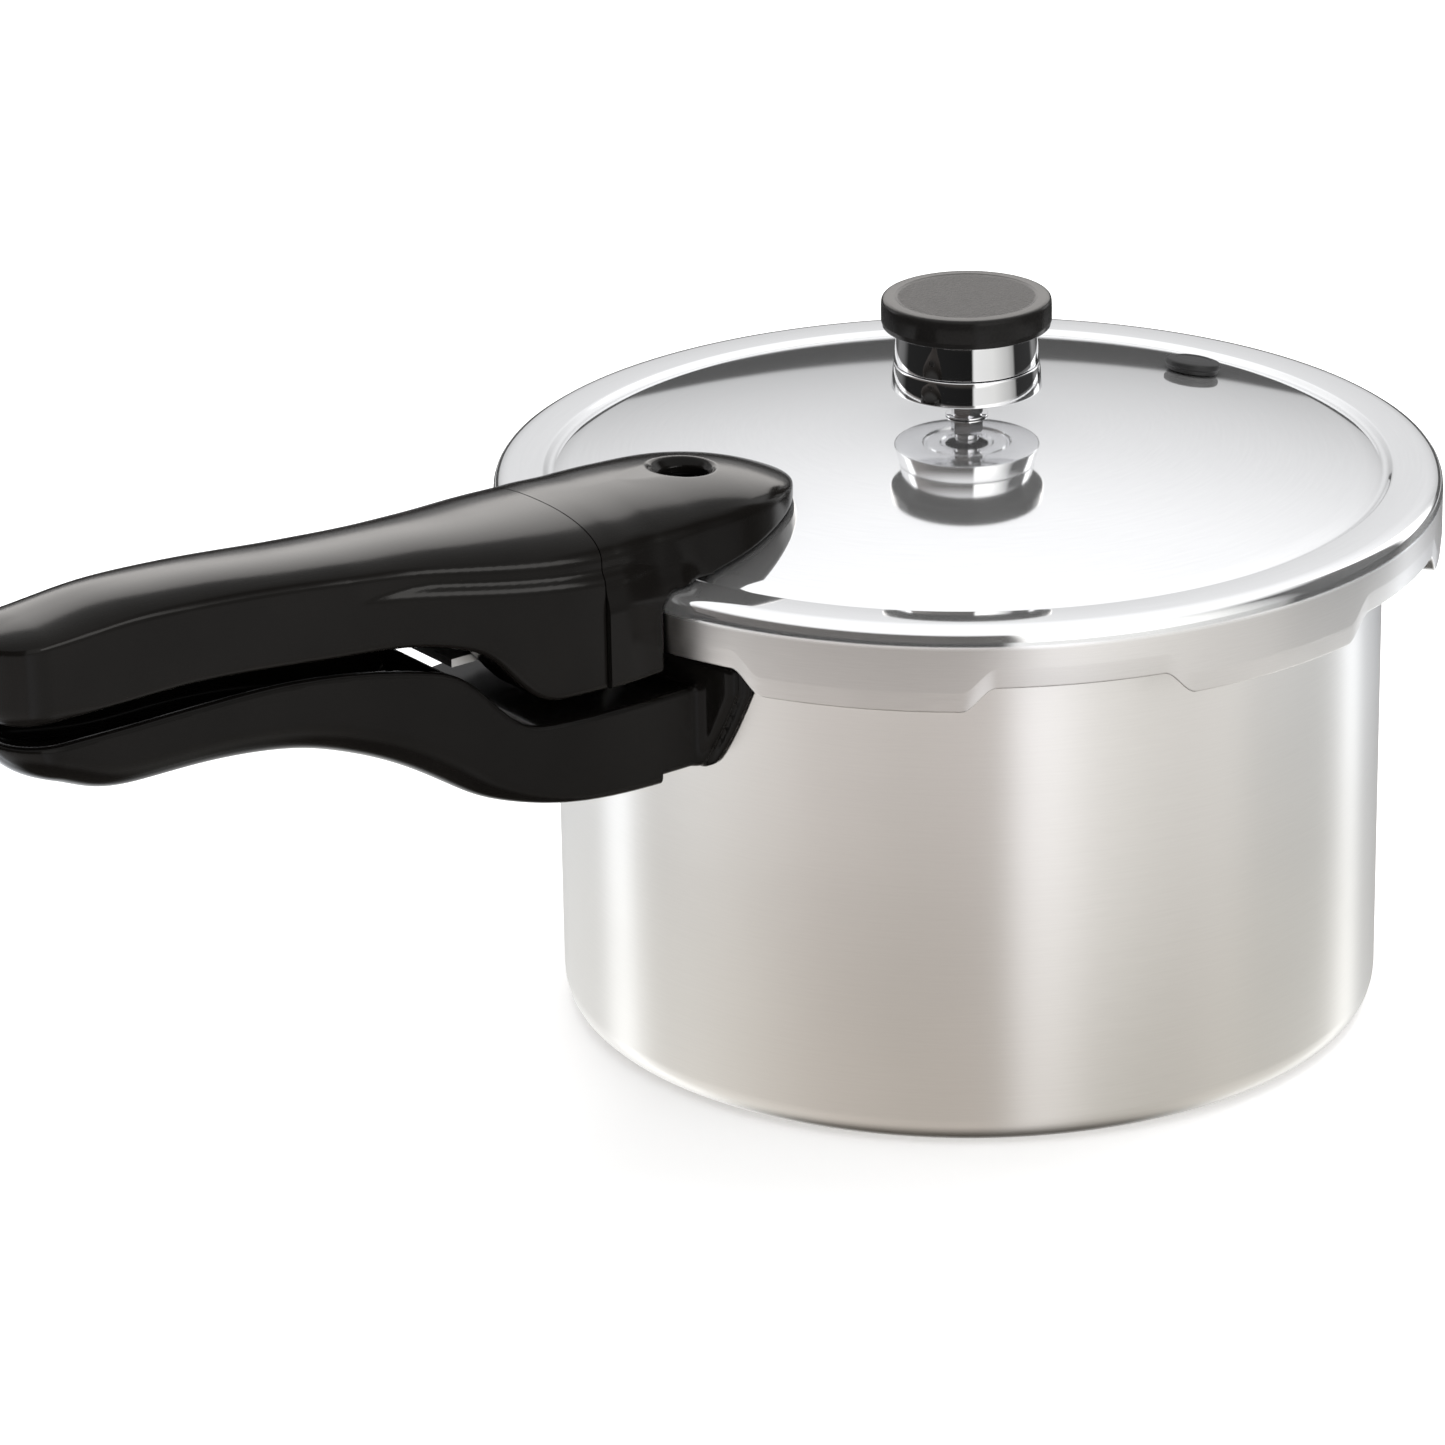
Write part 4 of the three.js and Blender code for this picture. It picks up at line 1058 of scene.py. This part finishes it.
# Brightness below the horizon, above it and just below it, as
# (azimuth from the camera's side, red, green, blue).
# Just below is the studio's dark side, with one lit panel in it.
BELOW = [
    (-180, 2.05, 2.12, 2.22), (-160, 2.15, 2.24, 2.38), (-128, 2.00, 2.08, 2.20), (-122, 3.90, 4.10, 4.40),
    (-115, 3.90, 4.10, 4.40), (-109, 1.75, 1.77, 1.80), (-90, 1.98, 2.00, 2.04), (-70, 1.76, 1.74, 1.74),
    (-45, 1.50, 1.44, 1.42), (-20, 1.38, 1.32, 1.29), (0, 1.40, 1.33, 1.31), (8, 1.18, 1.13, 1.11),
    (14, 1.74, 1.74, 1.83), (22, 1.62, 1.62, 1.68), (34, 1.14, 1.13, 1.13), (48, 1.04, 1.03, 1.01),
    (62, 1.10, 1.08, 1.07), (77, 1.40, 1.39, 1.38), (95, 1.64, 1.66, 1.68), (118, 1.74, 1.78, 1.82),
    (125, 1.95, 2.0, 2.06), (129, 3.5, 3.65, 3.85), (136, 3.5, 3.65, 3.85), (141, 1.60, 1.68, 1.80),
    (165, 1.40, 1.44, 1.52),
]
ABOVE = [
    (-180, 1.0, 1.0, 1.0), (-128, 1.0, 1.0, 1.0), (-122, 2.0, 2.0, 2.0), (-113, 2.0, 2.0, 2.0),
    (-106, 0.25, 0.23, 0.22), (-60, 0.10, 0.09, 0.085), (0, 0.06, 0.055, 0.05), (8, 0.08, 0.075, 0.07),
    (13, 1.9, 1.88, 1.84), (38, 1.7, 1.68, 1.65), (60, 1.0, 1.0, 0.98), (74, 0.50, 0.50, 0.50),
    (82, 0.05, 0.05, 0.05), (118, 0.10, 0.10, 0.10), (124, 1.9, 1.9, 1.9), (136, 1.9, 1.9, 1.9),
    (142, 1.0, 1.0, 1.0),
]
NEAR = [
    (-180, 0.12, 0.12, 0.12), (-150, 0.10, 0.10, 0.10), (-138, 0.20, 0.20, 0.20), (-122, 0.16, 0.16, 0.16),
    (-108, 0.02, 0.02, 0.02), (6, 0.012, 0.012, 0.012), (9, 0.95, 0.95, 0.94), (40, 0.88, 0.88, 0.86),
    (66, 0.60, 0.60, 0.59), (76, 0.38, 0.38, 0.37), (80, 0.03, 0.03, 0.03), (118, 0.04, 0.04, 0.04),
    (128, 0.28, 0.28, 0.28), (140, 0.22, 0.22, 0.22), (150, 0.06, 0.06, 0.06), (166, 0.12, 0.12, 0.12),
]
# Brightness behind the object by the sine of the elevation.
BEHIND = [
    (-1, 0.95), (-0.16, 0.95), (-0.14, 0.02), (0.062, 0.02), (0.078, 0.50),
    (0.26, 0.68), (0.42, 0.84), (0.6, 1.05), (1, 1.15),
]


def world():
    """The studio that the metal mirrors: four ramps by direction, and a plain bright ceiling."""
    w = bpy.data.worlds.new("studio")
    scene.world = w
    w.use_nodes = True
    m = Nodes(w.node_tree)
    direction = m.add("ShaderNodeTexCoord").outputs["Generated"]

    def along(axis):
        node = m.add("ShaderNodeVectorMath", {0: direction, 1: axis}, operation="DOT_PRODUCT")
        return node.outputs["Value"]

    def ramp(factor, stops):
        node = m.add("ShaderNodeValToRGB", {0: factor})
        node.color_ramp.elements.remove(node.color_ramp.elements[1])
        for i, (at, colour) in enumerate(stops):
            element = node.color_ramp.elements[0] if i == 0 else node.color_ramp.elements.new(at)
            element.position = at
            element.color = (*colour, 1)
        return node.outputs[0]

    def mixed(factor, a, b):
        return m.add("ShaderNodeMix", {"Factor": factor, 6: a, 7: b}, data_type="RGBA").outputs[2]

    height = along((0, 0, 1))
    turn = m.math("ARCTAN2", along(tuple(RIGHT)), along(tuple(-VIEW)))
    share = m.between(turn, 0.0, 1.0, -math.pi, math.pi)
    below, above, near = [
        ramp(share, [((a + 180) / 360, c) for a, *c in table]) for table in (BELOW, ABOVE, NEAR)
    ]
    stops = [((z + 1) / 2, (v, v, v * 1.01)) for z, v in BEHIND]
    behind = ramp(m.between(height, 0.0, 1.0, -1.0, 1.0), stops)
    sideways = m.between(m.math("ABSOLUTE", turn), 0.0, 0.08, math.radians(70), math.radians(110))
    low = mixed(m.between(m.math("ADD", height, sideways), 0.0, 1.0, -0.28, -0.25), below, near)
    low = mixed(m.between(height, 0.0, 1.0, -0.92, -0.80), (0.10, 0.09, 0.08, 1), low)
    around = mixed(m.between(height, 0.0, 1.0, -0.04, 0.0), low, above)
    far = m.between(m.math("ABSOLUTE", turn), 0.0, 1.0, math.radians(138), math.radians(146))
    far = m.math("MULTIPLY", far, m.between(height, 0.0, 1.0, -0.20, -0.16))
    sky = mixed(m.between(height, 0.0, 1.0, 0.62, 0.78), mixed(far, around, behind), (1.15, 1.15, 1.15, 1))
    m.tree.links.new(sky, w.node_tree.nodes["Background"].inputs["Color"])


def lamps():
    """One overhead light, and two that black gloss mirrors and the metal doesn't get."""
    handle = ("cover_handle_rear", "cover_handle_front")
    lamp("overhead", 165, 68, 1.9, (1.7, 1.2), 22, (1.0, 0.99, 0.97))
    glow = lamp("handle_glow", 178, 28, 1.6, (1.9, 0.9), 18, (1.0, 0.965, 0.93), (-0.15, 0, 0.15))
    streak = lamp("handle_streak", 50, 16, 1.6, (0.8, 0.6), 9, (1.0, 0.98, 0.95), (-0.16, -0.02, 0.15))
    glow.visible_glossy = streak.visible_glossy = True
    only_on(glow, (*handle, "weight_cap"))
    only_on(streak, handle)


floor()
world()
lamps()

scene.view_settings.view_transform = "Standard"
scene.view_settings.look = "None"
